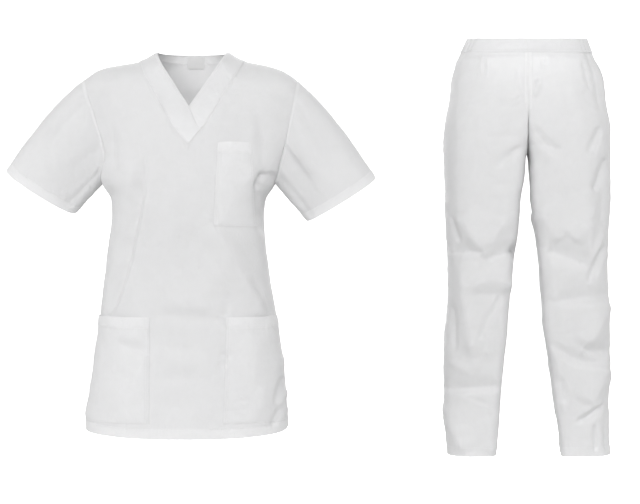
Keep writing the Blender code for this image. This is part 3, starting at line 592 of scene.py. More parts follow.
class Panel:
    """A grid of points of cloth, rows by columns, with where its guide lines lie."""

    def __init__(self, points, row_at=None, column_at=None, ring=False):
        self.points = points
        self.row_at = row_at
        self.column_at = column_at
        self.ring = ring
        self.double = np.zeros(points.shape[:2])
        self.measure()

    def measure(self):
        """Normals, and distances over the cloth from each edge."""
        p = self.points
        if self.ring:
            across = np.roll(p, -1, axis=1) - np.roll(p, 1, axis=1)
        else:
            across = np.gradient(p, axis=1)
        normal = np.cross(across, np.gradient(p, axis=0))
        self.normals = normal / np.maximum(np.linalg.norm(normal, axis=-1, keepdims=True), 1e-12)
        up = np.linalg.norm(np.diff(p, axis=0), axis=-1)
        over = np.linalg.norm(np.diff(p, axis=1), axis=-1)
        self.from_bottom = np.concatenate([np.zeros((1, p.shape[1])), np.cumsum(up, axis=0)])
        self.from_top = self.from_bottom[-1:] - self.from_bottom
        self.from_left = np.concatenate([np.zeros((p.shape[0], 1)), np.cumsum(over, axis=1)], axis=1)
        self.from_right = self.from_left[:, -1:] - self.from_left

    def lift(self, height):
        """Moves the points out along their normals."""
        self.points = self.points + np.asarray(height)[..., None] * self.normals
        self.measure()

    def places(self):
        """x and z of every point."""
        return self.points[..., 0], self.points[..., 2]

    def away(self, edge):
        """Distances over the cloth from that edge."""
        return getattr(self, "from_" + edge)

    def part(self, rows, columns):
        """A copy of the stretch between guide rows and guide columns."""
        r = slice(self.row_at[rows[0]], self.row_at[rows[1]] + 1)
        c = slice(self.column_at[columns[0]], self.column_at[columns[1]] + 1)
        return Panel(self.points[r, c].copy())

    def line(self, edge, inset, start=0, end=1):
        """Points and normals along a line at that distance over the cloth from an edge."""
        distance, points, normals = self.away(edge), self.points, self.normals
        if edge in ("bottom", "top"):
            distance, points, normals = distance.T, points.swapaxes(0, 1), normals.swapaxes(0, 1)
        if edge in ("top", "right"):
            distance, points, normals = distance[:, ::-1], points[:, ::-1], normals[:, ::-1]
        found = []
        for i in range(distance.shape[0]):
            j = min(np.searchsorted(distance[i], inset), distance.shape[1] - 1)
            k = max(j - 1, 0)
            t = (inset - distance[i, k]) / max(distance[i, j] - distance[i, k], 1e-9)
            found.append((points[i, k] + t * (points[i, j] - points[i, k]), normals[i, k]))
        points, normals = (np.array(part) for part in zip(*found))
        if self.ring:
            points, normals = np.vstack([points, points[:1]]), np.vstack([normals, normals[:1]])
        n = len(points)
        window = slice(int(start * n), max(int(end * n), 2))
        return points[window], normals[window]


def tunic_panel(columns, tops, heights_of, chest_sag, face):
    """A panel of the tunic from its hem up. Heights_of gives the top edge's height at each x."""
    coarse = np.arange(len(tops))
    hip = body(columns(-0.60), np.full(len(tops), -0.60), face)
    fine_columns, column_at = stops(gaps(hip))
    rise = np.concatenate([np.diff(LEVELS), np.diff(UPPER_SHARES) * UPPER_LONG])
    fine_rows, row_at = stops(rise)
    share = np.abs(np.interp(fine_columns, coarse, np.linspace(-1, 1, len(tops))))
    last = len(LEVELS) - 1
    xs, zs = [], []
    for v in fine_rows[fine_rows <= last]:
        z = np.interp(v, np.arange(len(LEVELS)), LEVELS)
        x = np.interp(fine_columns, coarse, columns(z))
        low = np.clip((LOWER_POCKET_FOOT - z) / (LOWER_POCKET_FOOT - HEM_SIDE), 0, 1)
        sag = HEM_DROP * (1 - share**3) * low
        sag = sag + chest_sag * ease((z - UNDERARM) / CHEST_SAG_RISE) * (1 - ease(share / CHEST_SAG_REACH))
        xs.append(x)
        zs.append(z - sag)
    start_x, start_z = xs[-1], zs[-1]
    top_x = np.interp(fine_columns, coarse, tops)
    top_z = heights_of(top_x)
    for v in fine_rows[fine_rows > last]:
        part = np.interp(v - last, np.arange(len(UPPER_SHARES)), UPPER_SHARES)
        xs.append(start_x + part * (top_x - start_x))
        zs.append(start_z + part * (top_z - start_z))
    return Panel(body(np.array(xs), np.array(zs), face), row_at, column_at)


def front_top(x):
    out = np.abs(x - NECK_X)
    return np.where(out <= BAND_OUTS[0] + 1e-9, along(V_OUTER, "height", out, key="out"), shoulder_height(x))


def band_foot(out):
    """Height of the back band's lower edge, which ends on the shoulder seams."""
    ends = float(along(SHOULDER, "height", BACK_BAND_END, key="out"))
    low = BACK_NECK_RISE - BACK_BAND_TALL
    return low + (ends - low) * (out / BACK_BAND_END) ** 2


def back_top(x):
    out = np.abs(x - NECK_X)
    return np.where(out <= BACK_BAND_END + 1e-9, band_foot(out), shoulder_height(x))


def sleeve_panel(front, back, side):
    """Rings from the armhole to the cuff, each from the underarm round the front, shoulder and back."""
    column = -1 if side > 0 else 0
    first = front.row_at[LEVELS.index(UNDERARM)]
    armhole = np.concatenate([front.points[first:, column], back.points[first + 1 : -1, column][::-1]])
    steps = gaps(np.vstack([armhole, armhole[:1]]))
    turn = 2 * np.pi * running(steps)[:-1] / steps.sum()
    outer, inner = CUFF[side]
    centre, reach = (outer + inner) / 2, (outer - inner) / 2
    slant = reach / np.linalg.norm(reach)
    along_sleeve = np.array([slant[2], 0, -slant[0]]) * side
    cuff = centre - np.cos(turn)[:, None] * reach
    cuff = cuff + np.sqrt(np.maximum(np.sin(turn), 0))[:, None] * CUFF_SWELL * along_sleeve
    cuff[:, 1] -= SLEEVE_DEEP * np.sin(turn)
    shares = np.linspace(0, 1, 1 + round(SLEEVE_LONG / STEP))
    rings = []
    for share in shares:
        swell = np.sin(np.pi * share**0.8)
        crown = np.maximum(-np.cos(turn), 0)[:, None] ** 2 * CROWN_LIFT * swell * slant
        dent = bell(turn - DENT_TURN, DENT_WIDE)[:, None] * SLEEVE_DENT * np.sin(np.pi * share) * [0, 1, 0]
        rings.append(armhole + share * (cuff - armhole) + crown + dent)
    points = np.array(rings)
    if side > 0:
        points, turn = points[:, ::-1], turn[::-1]
    panel = Panel(points, ring=True)
    height = billow(turn[None, :] * 0.08, shares[:, None] * 0.2, 31 + side, 0.09, 0.0010)
    for turn0, along0, turn1, along1, wide, out in zip(*SLEEVE_CREASES.values()):
        middle = turn0 + (turn1 - turn0) * (shares[:, None] - along0) / (along1 - along0)
        reach = ease((shares - along0) / 0.2 + 0.5) * ease((along1 - shares) / 0.2 + 0.5)
        height = height + out * reach[:, None] * bell(turn[None, :] - middle + 0.06 * side, wide)
    hem = panel.from_top < SLEEVE_BAND
    off = panel.from_top - SLEEVE_BAND
    height = height * ease(panel.from_bottom / SEAM_HOLD) + 0.0005 * (1 - bell(panel.from_bottom, SEAM_SINK))
    height = height + SLEEVE_THICK * hem - SLEEVE_THICK * bell(off, 0.0017)
    panel.lift(height + 0.00022 * puckers(panel.from_left, 0.0085, 1.5, 0.021) * bell(off, 0.007))
    panel.double = 0.7 * hem + 1.0 * (panel.from_bottom < 0.006)
    return panel


def puckers(run, pitch, swing, sway):
    """Fine waves along a seam, uneven in pitch."""
    return np.sin(2 * np.pi * run / pitch + swing * np.sin(run / sway))


def seam_relief(panel, edges):
    """Cloth that stands a little off its seams, with fine puckers beside them."""
    height = np.zeros(panel.points.shape[:2])
    for edge in edges:
        distance = panel.away(edge)
        run = panel.from_bottom if edge in ("left", "right") else panel.from_left
        height = height + 0.00025 * puckers(run, 0.011, 2, 0.031) * bell(distance - 0.005, 0.003)
        height = height - 0.0002 * bell(distance, SEAM_SINK)
    return height


def held(panel, edges, reach=SEAM_HOLD):
    """0 on those edges and 1 further in than reach."""
    fade = np.ones(panel.points.shape[:2])
    for edge in edges:
        fade = fade * ease(panel.away(edge) / reach)
    return fade


def hem_relief(distance, run, band):
    """A turned hem: a little thicker below its stitches, which sink in and pucker it."""
    off = distance - band
    pucker = 0.00028 * puckers(run, 0.0105, 2.2, 0.027)
    return HEM_THICK * (distance < band) - HEM_THICK * bell(off, SEAM_SINK) + pucker * bell(off, 0.009)


def dress_tunic_panel(panel, rows, sharper, seed):
    """Creases, swells, seams and the hem of the front or the back."""
    x, z = panel.places()
    edges = ("left", "right", "top")
    height = creases(rows, x, z) + facets(sharper, x, z, 2 * CREST_ROUND) + billow(x, z, seed, 0.13, 0.0016)
    height = height * held(panel, edges, 0.014) + seam_relief(panel, edges)
    height = height + hem_relief(panel.from_bottom, panel.from_left, HEM_BAND)
    panel.double = 0.7 * (panel.from_bottom < HEM_BAND)
    panel.lift(height)


def laid_on(panel, rows, columns, gape, seed):
    """A patch pocket: the panel's own points moved out, standing off a little at its mouth."""
    pocket = panel.part(rows, columns)
    up = pocket.from_bottom / pocket.from_bottom[-1:]
    across = pocket.from_left / pocket.from_left[:, -1:]
    edges = ("left", "right", "bottom")
    off = POCKET_OFF + gape * up**3 * np.sin(np.pi * across) ** 0.8
    swell = billow(*pocket.places(), seed, 0.07, 0.0009)
    height = off + (swell + 0.0008) * held(pocket, edges, 0.016) - 0.0003 * (1 - held(pocket, edges, 0.0022))
    pocket.lift(height + hem_relief(pocket.from_top, pocket.from_left, POCKET_BAND))
    pocket.double = 0.5 + 0.35 * (pocket.from_top < POCKET_BAND)
    return pocket


def band_panel(side):
    """A front neck band, from its outer to its inner edge. The right one lies on top and has the tip."""
    outer = np.array(V_STOPS)
    inner = NECK_HALF * (outer - OVERLAP) / (outer[-1] - OVERLAP)
    overlap = len(BAND_SHARES) - 1
    inner[:overlap] = -OVERLAP * (1 - BAND_SHARES[:overlap])
    if side > 0:
        outer, inner = outer[overlap - 1 :], inner[overlap - 1 :]
    fine = np.linspace(0, len(outer) - 1, 68)
    outer, inner = (np.interp(fine, np.arange(len(outer)), part) for part in (outer, inner))
    outer_z = along(V_OUTER, "height", outer, key="out")
    inner_z = along(V_INNER, "height", inner, key="out")
    tip = np.exp(-fine / 0.6)
    rows = []
    for share in np.linspace(-0.05, 1, 15):
        out = outer + share * (inner - outer)
        z = outer_z + share * (inner_z - outer_z)
        if side < 0:
            z = z + tip * (along(V_OUTER, "height", np.abs(out), key="out") - z)
        z[-1] = shoulder_height(NECK_X + out[-1]) + NECK_OVER
        z = np.minimum(z, shoulder_height(NECK_X + out) + NECK_OVER)
        rows.append(body(NECK_X + side * out, z, -1))
    points = np.array(rows)
    panel = Panel(points[:, ::-1] if side < 0 else points)
    panel.lift(0.0014 if side < 0 else 0.0006)
    x, z = panel.places()
    swell = billow(x, z, 41 + side, 0.05, 0.0009) * held(panel, ("left", "right"), 0.02)
    stitched = 0.0003 * bell(panel.from_bottom - BAND_OUTER_ROW, 0.0012)
    rolled = 0.0006 * bell(panel.from_bottom, 0.0012) + BAND_ROLL * bell(panel.from_top, BAND_ROLL_WIDE)
    panel.lift(swell - stitched - rolled)
    panel.double = 0.8 * bell(z - z.min(), 0.045)
    return panel


def back_band_panel():
    """The back neck band, from its lower to its upper edge."""
    low = np.linspace(-BACK_BAND_END, BACK_BAND_END, 61)
    turn = low / BACK_BAND_END
    foot = band_foot(np.abs(low))
    rows = []
    for share in np.linspace(-0.06, 1, 11):
        x = NECK_X + turn * (BACK_BAND_END + share * (NECK_HALF - BACK_BAND_END))
        z = foot + share * (BACK_NECK_RISE * (1 - turn**2) - foot)
        rows.append(body(x, np.minimum(z, shoulder_height(x) + NECK_OVER), 1))
    panel = Panel(np.array(rows)[:, ::-1])
    panel.lift(0.0008)
    panel.lift(-BAND_ROLL * bell(panel.from_top, BAND_ROLL_WIDE))
    panel.double = panel.double + 1
    return panel


def half_section(outer, inner, deep, inner_y, peak, count, inner_power=LEG_POWER):
    """Points of half a leg's section from the side seam to the centre seam or inseam, evenly spaced."""
    t = np.linspace(0, 1, 161)
    rising = np.sin(np.pi / 2 * t) ** (2 / LEG_POWER)
    back_off = np.cos(np.pi / 2 * t) ** (2 / LEG_POWER)
    x = outer + (inner - outer) * peak * (1 - back_off)
    y = deep * rising
    if peak < 0.999:
        x2 = outer + (inner - outer) * (peak + (1 - peak) * np.sin(np.pi / 2 * t) ** (2 / inner_power))
        y2 = inner_y + (deep - inner_y) * np.cos(np.pi / 2 * t) ** (2 / inner_power)
        x, y = np.concatenate([x, x2[1:]]), np.concatenate([y, y2[1:]])
    steps = running(np.hypot(np.diff(x), np.diff(y)))
    even = np.linspace(0, steps[-1], count + 1)
    return np.interp(even, steps, x), np.interp(even, steps, y)


def gather_wave(turn_length):
    """Uneven gathers: 0 on their ridges and 1 in their grooves."""
    phase = 2 * np.pi * turn_length + 0.9 * np.sin(2.3 * turn_length) + 0.5 * np.sin(5.1 * turn_length)
    return 0.5 - 0.5 * np.cos(phase)


def seam_edges(side, face):
    """The edges of a leg's panel at its side seam, and at its centre seam and inseam."""
    return ("left", "right") if (side < 0) == (face < 0) else ("right", "left")


def leg_panel(side, face, count=76):
    """A leg's panel from the waist seam down, each row from the side seam to the centre seam or inseam."""
    name = "left" if side < 0 else "right"
    depth = "front" if face < 0 else "back"
    power = INSEAM_POWER if face < 0 else LEG_POWER
    heights = [np.linspace(WAIST_SEAM, CROTCH, 62), np.linspace(CROTCH, TROUSER_HEM, 192)[1:]]
    rows = []
    for z in np.concatenate(heights):
        outer, inner = along(LEGS, "outer_" + name, z), along(LEGS, "inner_" + name, z)
        deep = face * along(LEGS, depth, z)
        inner_y = along(RISE, depth, z) if z > CROTCH else CROTCH_Y
        if z >= CROTCH:
            inner = 0.0
        x, y = half_section(outer, inner, deep, inner_y, float(along(RISE, "peak", z)), count, power)
        if face < 0:
            inward = np.clip((x - outer) / (inner - outer), 0, 1) ** 3 * ease((CROTCH - z) / 0.12)
            x = x + (SEAM_LEAN + INNER_LEAN * max(side, 0) * inward) * y
        dip = FRONT_DIP * np.clip(np.abs(y / deep), 0, 1) * ease((z - WAIST_SEAM + 0.03) / 0.03)
        rows.append(np.stack([x, y, z - dip * (face < 0)], axis=-1))
    points = np.array(rows)[::-1] + TROUSERS
    return Panel(points[:, ::-1] if (side < 0) != (face < 0) else points)


def dress_leg(panel, side, face, seed):
    """Folds, swells, gathers, seams, the hem and the front's centre strip of a leg's panel; the strip is
    whiter as doubled placket cloth and as a painted highlight.
    """
    x, z = panel.places()
    x = x - TROUSERS[0]
    outer_edge, inner_edge = seam_edges(side, face)
    height = facets(LEG_FACETS if face < 0 else SEAT_FACETS, x, z, CREST_ROUND)
    height = height + billow(x, z, seed, 0.075, 0.0012)
    height = height * held(panel, (outer_edge,), 0.006) * held(panel, (inner_edge,), 0.012)
    from_side = panel.away(outer_edge)
    elastic = 1.0 if face > 0 else ease((0.062 - from_side) / 0.03)
    wave = gather_wave(from_side / GATHER_PITCH + 0.37 * (1 + side))
    height = height - 0.0026 * wave * elastic * np.exp(-((panel.from_top / 0.045) ** 1.2))
    height = height + seam_relief(panel, (outer_edge,) if face < 0 else (outer_edge, inner_edge))
    height = height + hem_relief(panel.from_bottom, panel.from_left, TROUSER_BAND)
    panel.double = 0.15 * (panel.from_bottom < TROUSER_BAND)
    if face < 0:
        # The centre strip is raised and painted whiter: partly its doubled placket cloth, partly a painted
        # highlight along the seam.
        placket_and_highlight = (panel.away(inner_edge) < STRIP_WIDE) & (z > STRIP_FOOT)
        height = height + 0.0005 * placket_and_highlight
        panel.double = np.maximum(panel.double, placket_and_highlight)
    panel.lift(height)


def waist_ring(z, turns):
    """Points round the waist at height z: a turn of 0 is the front and half a turn the back."""
    t = (z - WAIST_SEAM) / (WAIST_TOP - WAIST_SEAM)
    left = LEGS["outer_left"][-1] + WAIST_DRAW_RIGHT * t
    right = LEGS["outer_right"][-1] - WAIST_DRAW_LEFT * t
    front, back = LEGS["front"][-1] - WAIST_DRAW_DEEP * t, LEGS["back"][-1] - WAIST_DRAW_DEEP * t
    angle = 2 * np.pi * turns
    swing, depth = (np.sign(p) * np.abs(p) ** (2 / LEG_POWER) for p in (np.sin(angle), np.cos(angle)))
    x = np.where(swing > 0, right, -left) * swing
    y = -np.where(depth > 0, front, back) * depth
    x = x + SEAM_LEAN * np.minimum(y, 0)
    return np.stack([TROUSERS[0] + x, TROUSERS[1] + y, z - FRONT_DIP * np.clip(depth, 0, 1)], axis=-1)


def join_turn():
    """The turn at which the flat part of the waistband meets the elastic."""
    return math.asin((WAIST_JOIN / LEGS["outer_right"][-1]) ** (LEG_POWER / 2)) / (2 * math.pi)


def even_turns(first, last, count):
    """Turns that step evenly over the cloth."""
    turns = np.linspace(first, last, 2001)
    ring = waist_ring(np.full(turns.shape, WAIST_SEAM), turns)
    steps = running(gaps(ring))
    return np.interp(np.linspace(0, steps[-1], count), steps, turns)


def waist_panel(turns):
    heights = np.linspace(WAIST_SEAM - 0.0015, WAIST_TOP, 14)
    return Panel(np.array([waist_ring(np.full(turns.shape, z), turns) for z in heights]))


def elastic_panel():
    """The gathered part of the waistband, round the sides and the back."""
    panel = waist_panel(even_turns(join_turn(), 1 - join_turn(), 360))
    wave = gather_wave(np.linspace(0, GATHERS, 360))[None, :]
    up = panel.from_bottom / panel.from_bottom[-1:]
    deep = 0.0021 * (0.75 + 0.25 * np.cos(2 * np.pi * (up - 0.1)))
    rolled = WAIST_ROLL * bell(panel.from_top, WAIST_ROLL_WIDE)
    channels = 0.0005 * sum(bell(up - at, 0.03) for at in (0.22, 0.52, 0.80))
    panel.lift(0.0012 - deep * wave * held(panel, ("left", "right"), 0.012) - rolled - channels)
    panel.double = panel.double + WAIST_DOUBLE
    return panel


def flat_band_panel():
    """The flat part of the waistband, in front."""
    panel = waist_panel(even_turns(-join_turn(), join_turn(), 120))
    rolled = WAIST_ROLL * bell(panel.from_top, WAIST_ROLL_WIDE)
    seam_x = TROUSERS[0] - SEAM_LEAN * LEGS["front"][-1]
    seam = 0.0006 * bell(panel.points[..., 0] - seam_x, 0.0016)
    swell = billow(*panel.places(), 57, 0.06, 0.0007)
    panel.lift(0.0013 - rolled - seam + swell * held(panel, ("left", "right", "bottom"), 0.01))
    panel.double = panel.double + WAIST_DOUBLE
    return panel


def label_panel():
    x = NECK_X + np.linspace(LABEL_WIDE / 2, -LABEL_WIDE / 2, 24)
    rows = []
    for z in np.linspace(-0.001, -0.001 - LABEL_TALL, 18):
        points = body(x, np.full_like(x, z), 1)
        points[:, 1] -= 0.0034 + 0.0012 * math.sin(28 * z) ** 2
        rows.append(points)
    return Panel(np.array(rows))


# Materials
def maths(tree, operation, *values):
    """A maths node fed by numbers or by other nodes' outputs. It returns its output."""
    node = tree.nodes.new("ShaderNodeMath")
    node.operation = operation
    for socket, value in zip(node.inputs, values):
        if isinstance(value, (int, float)):
            socket.default_value = value
        else:
            tree.links.new(value, socket)
    return node.outputs[0]


def set_all(node, **values):
    """Sets a node's own sockets, named with underscores for spaces."""
    for name, value in values.items():
        node.inputs[name.replace("_", " ")].default_value = value


def new_node(tree, kind, **values):
    node = tree.nodes.new("ShaderNode" + kind)
    set_all(node, **values)
    return node


def new_material(name, **values):
    material = bpy.data.materials.new(name)
    material.use_nodes = True
    shader = material.node_tree.nodes["Principled BSDF"]
    set_all(shader, **values)
    return material, material.node_tree, shader


def woven(name, roughness, sheen, through=0.8):
    """A material with the sheen of fibres, which lets a share of the light through."""
    return new_material(
        name, Roughness=roughness, Specular_IOR_Level=0.25, Sheen_Weight=sheen, Sheen_Roughness=0.45,
        Subsurface_Weight=through, Subsurface_Radius=(1.0, 1.0, 1.0), Subsurface_Scale=0.002,
    )


def mixed(tree, factor, low, high):
    node = tree.nodes.new("ShaderNodeMix")
    node.data_type = "RGBA"
    tree.links.new(factor, node.inputs["Factor"])
    for name, value in (("A", low), ("B", high)):
        socket = [s for s in node.inputs if s.name == name and s.type == "RGBA"][0]
        if isinstance(value, tuple):
            socket.default_value = value
        else:
            tree.links.new(value, socket)
    return [s for s in node.outputs if s.type == "RGBA"][0]


def cloth_material(name, single, double, crumple, through=0.8):
    """Poplin: a fine plain weave, faint slubs, and cloth that is whiter where it lies double."""
    material, tree, shader = woven(name, 0.88, 0.18, through)
    link = tree.links.new
    uv = new_node(tree, "UVMap")
    uv.uv_map = "cloth"
    split = new_node(tree, "SeparateXYZ")
    link(uv.outputs["UV"], split.inputs[0])
    warp, weft = (
        maths(tree, "SINE", maths(tree, "MULTIPLY", split.outputs[axis], 2 * math.pi / WEAVE_PITCH))
        for axis in "XY"
    )
    slub = new_node(tree, "TexNoise", Scale=1.0, Detail=2.0)
    stretch = new_node(tree, "Mapping", Scale=(900.0, 60.0, 1.0))
    link(uv.outputs["UV"], stretch.inputs["Vector"])
    link(stretch.outputs[0], slub.inputs["Vector"])
    soft = new_node(tree, "TexNoise", Scale=crumple, Detail=3.0, Distortion=0.6)
    link(new_node(tree, "TexCoord").outputs["Object"], soft.inputs["Vector"])
    attribute = new_node(tree, "Attribute")
    attribute.attribute_name = "doubled"
    tone = mixed(tree, attribute.outputs["Fac"], single, double)
    patchy = maths(tree, "MULTIPLY_ADD", soft.outputs["Fac"], 0.05, 0.955)
    fibre = maths(tree, "MULTIPLY_ADD", slub.outputs["Fac"], 0.03, 0.985)
    shade = maths(tree, "MULTIPLY", patchy, fibre)
    combine = new_node(tree, "CombineXYZ")
    for socket in combine.inputs:
        link(shade, socket)
    product = new_node(tree, "VectorMath")
    product.operation = "MULTIPLY"
    link(tone, product.inputs[0])
    link(combine.outputs[0], product.inputs[1])
    link(product.outputs[0], shader.inputs["Base Color"])
    wide = new_node(tree, "Bump", Strength=0.35, Distance=0.0022)
    link(soft.outputs["Fac"], wide.inputs["Height"])
    fine = new_node(tree, "Bump", Strength=0.25, Distance=0.00012)
    weave = maths(tree, "MULTIPLY", warp, weft)
    link(maths(tree, "ADD", weave, slub.outputs["Fac"]), fine.inputs["Height"])
    link(wide.outputs[0], fine.inputs["Normal"])
    link(fine.outputs[0], shader.inputs["Normal"])
    return material


def thread_material():
    """Twisted sewing thread, a little glossier than the cloth."""
    material, tree, shader = woven("sewing_thread", 0.6, 0.1)
    noise = new_node(tree, "TexNoise", Scale=2500.0)
    tone = mixed(tree, noise.outputs["Fac"], (0.74, 0.74, 0.75, 1), (0.86, 0.86, 0.87, 1))
    tree.links.new(tone, shader.inputs["Base Color"])
    return material


# Meshes
def placed(name, data):
    """A new object of the scene."""
    obj = bpy.data.objects.new(name, data)
    bpy.context.scene.collection.objects.link(obj)
    return obj


def plain_piece(name, corners, faces, material):
    mesh = bpy.data.meshes.new(name)
    mesh.from_pydata([tuple(corner) for corner in corners], [], faces)
    mesh.materials.append(material)
    mesh.shade_smooth()
    return placed(name, mesh)


def cloth_piece(name, panel, material, thick=THIN):
    """A panel as a thin wall of cloth, with a map in metres for the weave and how far it lies double."""
    rows, columns = panel.points.shape[:2]
    index = np.arange(rows * columns).reshape(rows, columns)
    if panel.ring:
        index = np.concatenate([index, index[:, :1]], axis=1)
    corners = [index[:-1, :-1], index[:-1, 1:], index[1:, 1:], index[1:, :-1]]
    faces = np.stack(corners, axis=-1).reshape(-1, 4)
    mesh = bpy.data.meshes.new(name)
    mesh.vertices.add(rows * columns)
    mesh.vertices.foreach_set("co", panel.points.reshape(-1))
    mesh.loops.add(faces.size)
    mesh.loops.foreach_set("vertex_index", faces.ravel().astype(np.int32))
    mesh.polygons.add(len(faces))
    mesh.polygons.foreach_set("loop_start", np.arange(0, faces.size, 4, dtype=np.int32))
    mesh.update(calc_edges=True)
    rim = np.zeros((rows, columns), int)
    rim[0], rim[-1] = 1, 2
    if not panel.ring:
        rim[:, 0] += 4
        rim[:, -1] += 8
    ends = np.empty(2 * len(mesh.edges), np.int32)
    mesh.edges.foreach_get("vertices", ends)
    ends = rim.ravel()[ends.reshape(-1, 2)]
    mesh.edges.foreach_set("use_edge_sharp", (ends[:, 0] & ends[:, 1]) > 0)
    layer = mesh.uv_layers.new(name="cloth")
    spread = np.stack([panel.from_left.ravel()[faces], panel.from_bottom.ravel()[faces]], axis=-1)
    if panel.ring:
        closing = np.arange(len(faces)) % columns == columns - 1
        turn = panel.from_left[:, -1] + np.linalg.norm(panel.points[:, 0] - panel.points[:, -1], axis=1)
        spread[closing, 1:3, 0] = np.stack([turn[:-1], turn[1:]], axis=1)
    layer.data.foreach_set("uv", spread.ravel().astype(np.float32))
    doubled = mesh.attributes.new("doubled", "FLOAT", "POINT")
    doubled.data.foreach_set("value", panel.double.ravel().astype(np.float32))
    mesh.materials.append(material)
    mesh.shade_smooth()
    mesh.validate()
    piece = placed(name, mesh)
    wall = piece.modifiers.new("thickness", "SOLIDIFY")
    wall.thickness = thick
    wall.offset = -1
    wall.use_even_offset = False
    return piece


def stitches(lines, pitch=STITCH_PITCH):
    """Points and faces of a row of short stitches along each line."""
    corners, faces, count = [], [], 0
    for points, normals in lines:
        run = running(gaps(points))
        starts = np.arange(pitch / 2, run[-1] - STITCH_LONG, pitch)
        here, there, normal = (
            np.stack([np.interp(at, run, part[:, i]) for i in range(3)], axis=1)
            for at, part in ((starts, points), (starts + STITCH_LONG, points), (starts, normals))
        )
        way = there - here
        way /= np.maximum(np.linalg.norm(way, axis=1, keepdims=True), 1e-9)
        side = np.cross(way, normal)
        side /= np.maximum(np.linalg.norm(side, axis=1, keepdims=True), 1e-9)
        for near, far, n, s, w in zip(here, there, normal, side, way):
            ring = [THREAD * s, THREAD * n, -THREAD * s, -THREAD * n]
            up, inward = 0.3 * THREAD * n, 0.15 * STITCH_LONG * w
            inner, outer = near + inward + up, far - inward + up
            corners += [near - 0.4 * up, *(inner + r for r in ring)]
            corners += [*(outer + r for r in ring), far - 0.4 * up]
            for i in range(4):
                a, b = count + 1 + i, count + 1 + (i + 1) % 4
                faces += [(count, b, a), (a, b, b + 4), (a, b + 4, a + 4), (count + 9, a + 4, b + 4)]
            count += 10
    return corners, faces


def stitching_piece(name, lines, material):
    piece = plain_piece(name, *stitches(lines), material)
    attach(piece, "root")


def cloth_sheet(piece, slot, replaced, flat, area, held_as="draped", rests_on=()):
    """Parents one cut piece to the root and hides the solid that it replaces."""
    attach(piece, "root")
    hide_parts(replaced)


def area_of(panel):
    p = panel.points
    across, up = np.diff(p, axis=1)[:-1], np.diff(p, axis=0)[:, :-1]
    return float(np.linalg.norm(np.cross(across, up), axis=-1).sum())


def cut_of(panel):
    """The flat size of a small piece, as it lies, and its area."""
    over, up = panel.from_left[:, -1].max(), panel.from_bottom[-1].max()
    flat = (round(float(over), 3), round(float(up), 3))
    return flat, round(min(area_of(panel), flat[0] * flat[1]), 5)


def dress_tunic(cloth, double, label_cloth, thread):
    """Every piece of the tunic, with its stitches."""
    front = tunic_panel(front_columns, limits(FRONT_TOPS), front_top, CHEST_SAG, -1)
    back = tunic_panel(back_columns, limits(BACK_TOPS), back_top, 0.0, 1)
    sleeves = {side: sleeve_panel(front, back, side) for side in (-1, 1)}
    back = Panel(back.points[:, ::-1].copy(), back.row_at, back.column_at)
    dress_tunic_panel(front, FRONT_CREASES, FRONT_FACETS, 11)
    dress_tunic_panel(back, BACK_CREASES, BACK_FACETS, 12)
    for name, panel, flat in (
        ("tunic_front", front, TUNIC_FRONT_CUT), ("tunic_back", back, TUNIC_BACK_CUT),
        ("sleeve_right", sleeves[-1], SLEEVE_CUT), ("sleeve_left", sleeves[1], SLEEVE_CUT),
    ):
        piece = cloth_piece(name + "_cloth", panel, cloth)
        cloth_sheet(piece, "cloth", name, flat, round(area_of(panel), 4))
    bands = {"neck_band_right": band_panel(-1), "neck_band_left": band_panel(1)}
    bands["neck_band_back"] = back_band_panel()
    middle = len(FRONT_TOPS)
    near, far = middle + NEAR_COLUMN, middle + FAR_COLUMN
    pockets = {}
    for name, low, high, columns, gape, seed in (
        ("chest_pocket", CHEST_POCKET_FOOT, CHEST_LINE, (near, far), 0.0030, 21),
        ("lower_pocket_left", LOWER_POCKET_FOOT, LOWER_POCKET_TOP, (near, 2 * middle), 0.0034, 22),
        ("lower_pocket_right", LOWER_POCKET_FOOT, LOWER_POCKET_TOP, (0, middle - NEAR_COLUMN), 0.0034, 23),
    ):
        pockets[name] = laid_on(front, (LEVELS.index(low), LEVELS.index(high)), columns, gape, seed)
    for name, panel in {**bands, **pockets}.items():
        behind = name == "neck_band_back"
        piece = cloth_piece(name + "_cloth", panel, double, THIN if behind else DOUBLE_THIN)
        carrier = "tunic_back_cloth" if behind else "tunic_front_cloth"
        cloth_sheet(piece, "double_cloth", name, *cut_of(panel), "laid", (carrier,))
    piece = cloth_piece("neck_label_cloth", label_panel(), label_cloth, LABEL_THIN)
    cloth_sheet(piece, "label", "neck_label", (LABEL_WIDE, LABEL_TALL), None, "hung", ("tunic_back_cloth",))
    lines = [front.line("bottom", HEM_BAND), back.line("bottom", HEM_BAND)]
    lines += [sleeve.line("top", SLEEVE_BAND) for sleeve in sleeves.values()]
    for pocket in pockets.values():
        lines += [pocket.line("top", POCKET_BAND), pocket.line("bottom", POCKET_ROW)]
        for inset in (POCKET_ROW, POCKET_ROW_IN):
            lines += [pocket.line("left", inset), pocket.line("right", inset)]
    for band in bands.values():
        lines += [band.line("bottom", BAND_OUTER_ROW), band.line("top", BAND_INNER_ROW)]
    lines += [sleeve.line("bottom", SLEEVE_ROW) for sleeve in sleeves.values()]
    stitching_piece("tunic_stitching", lines, thread)


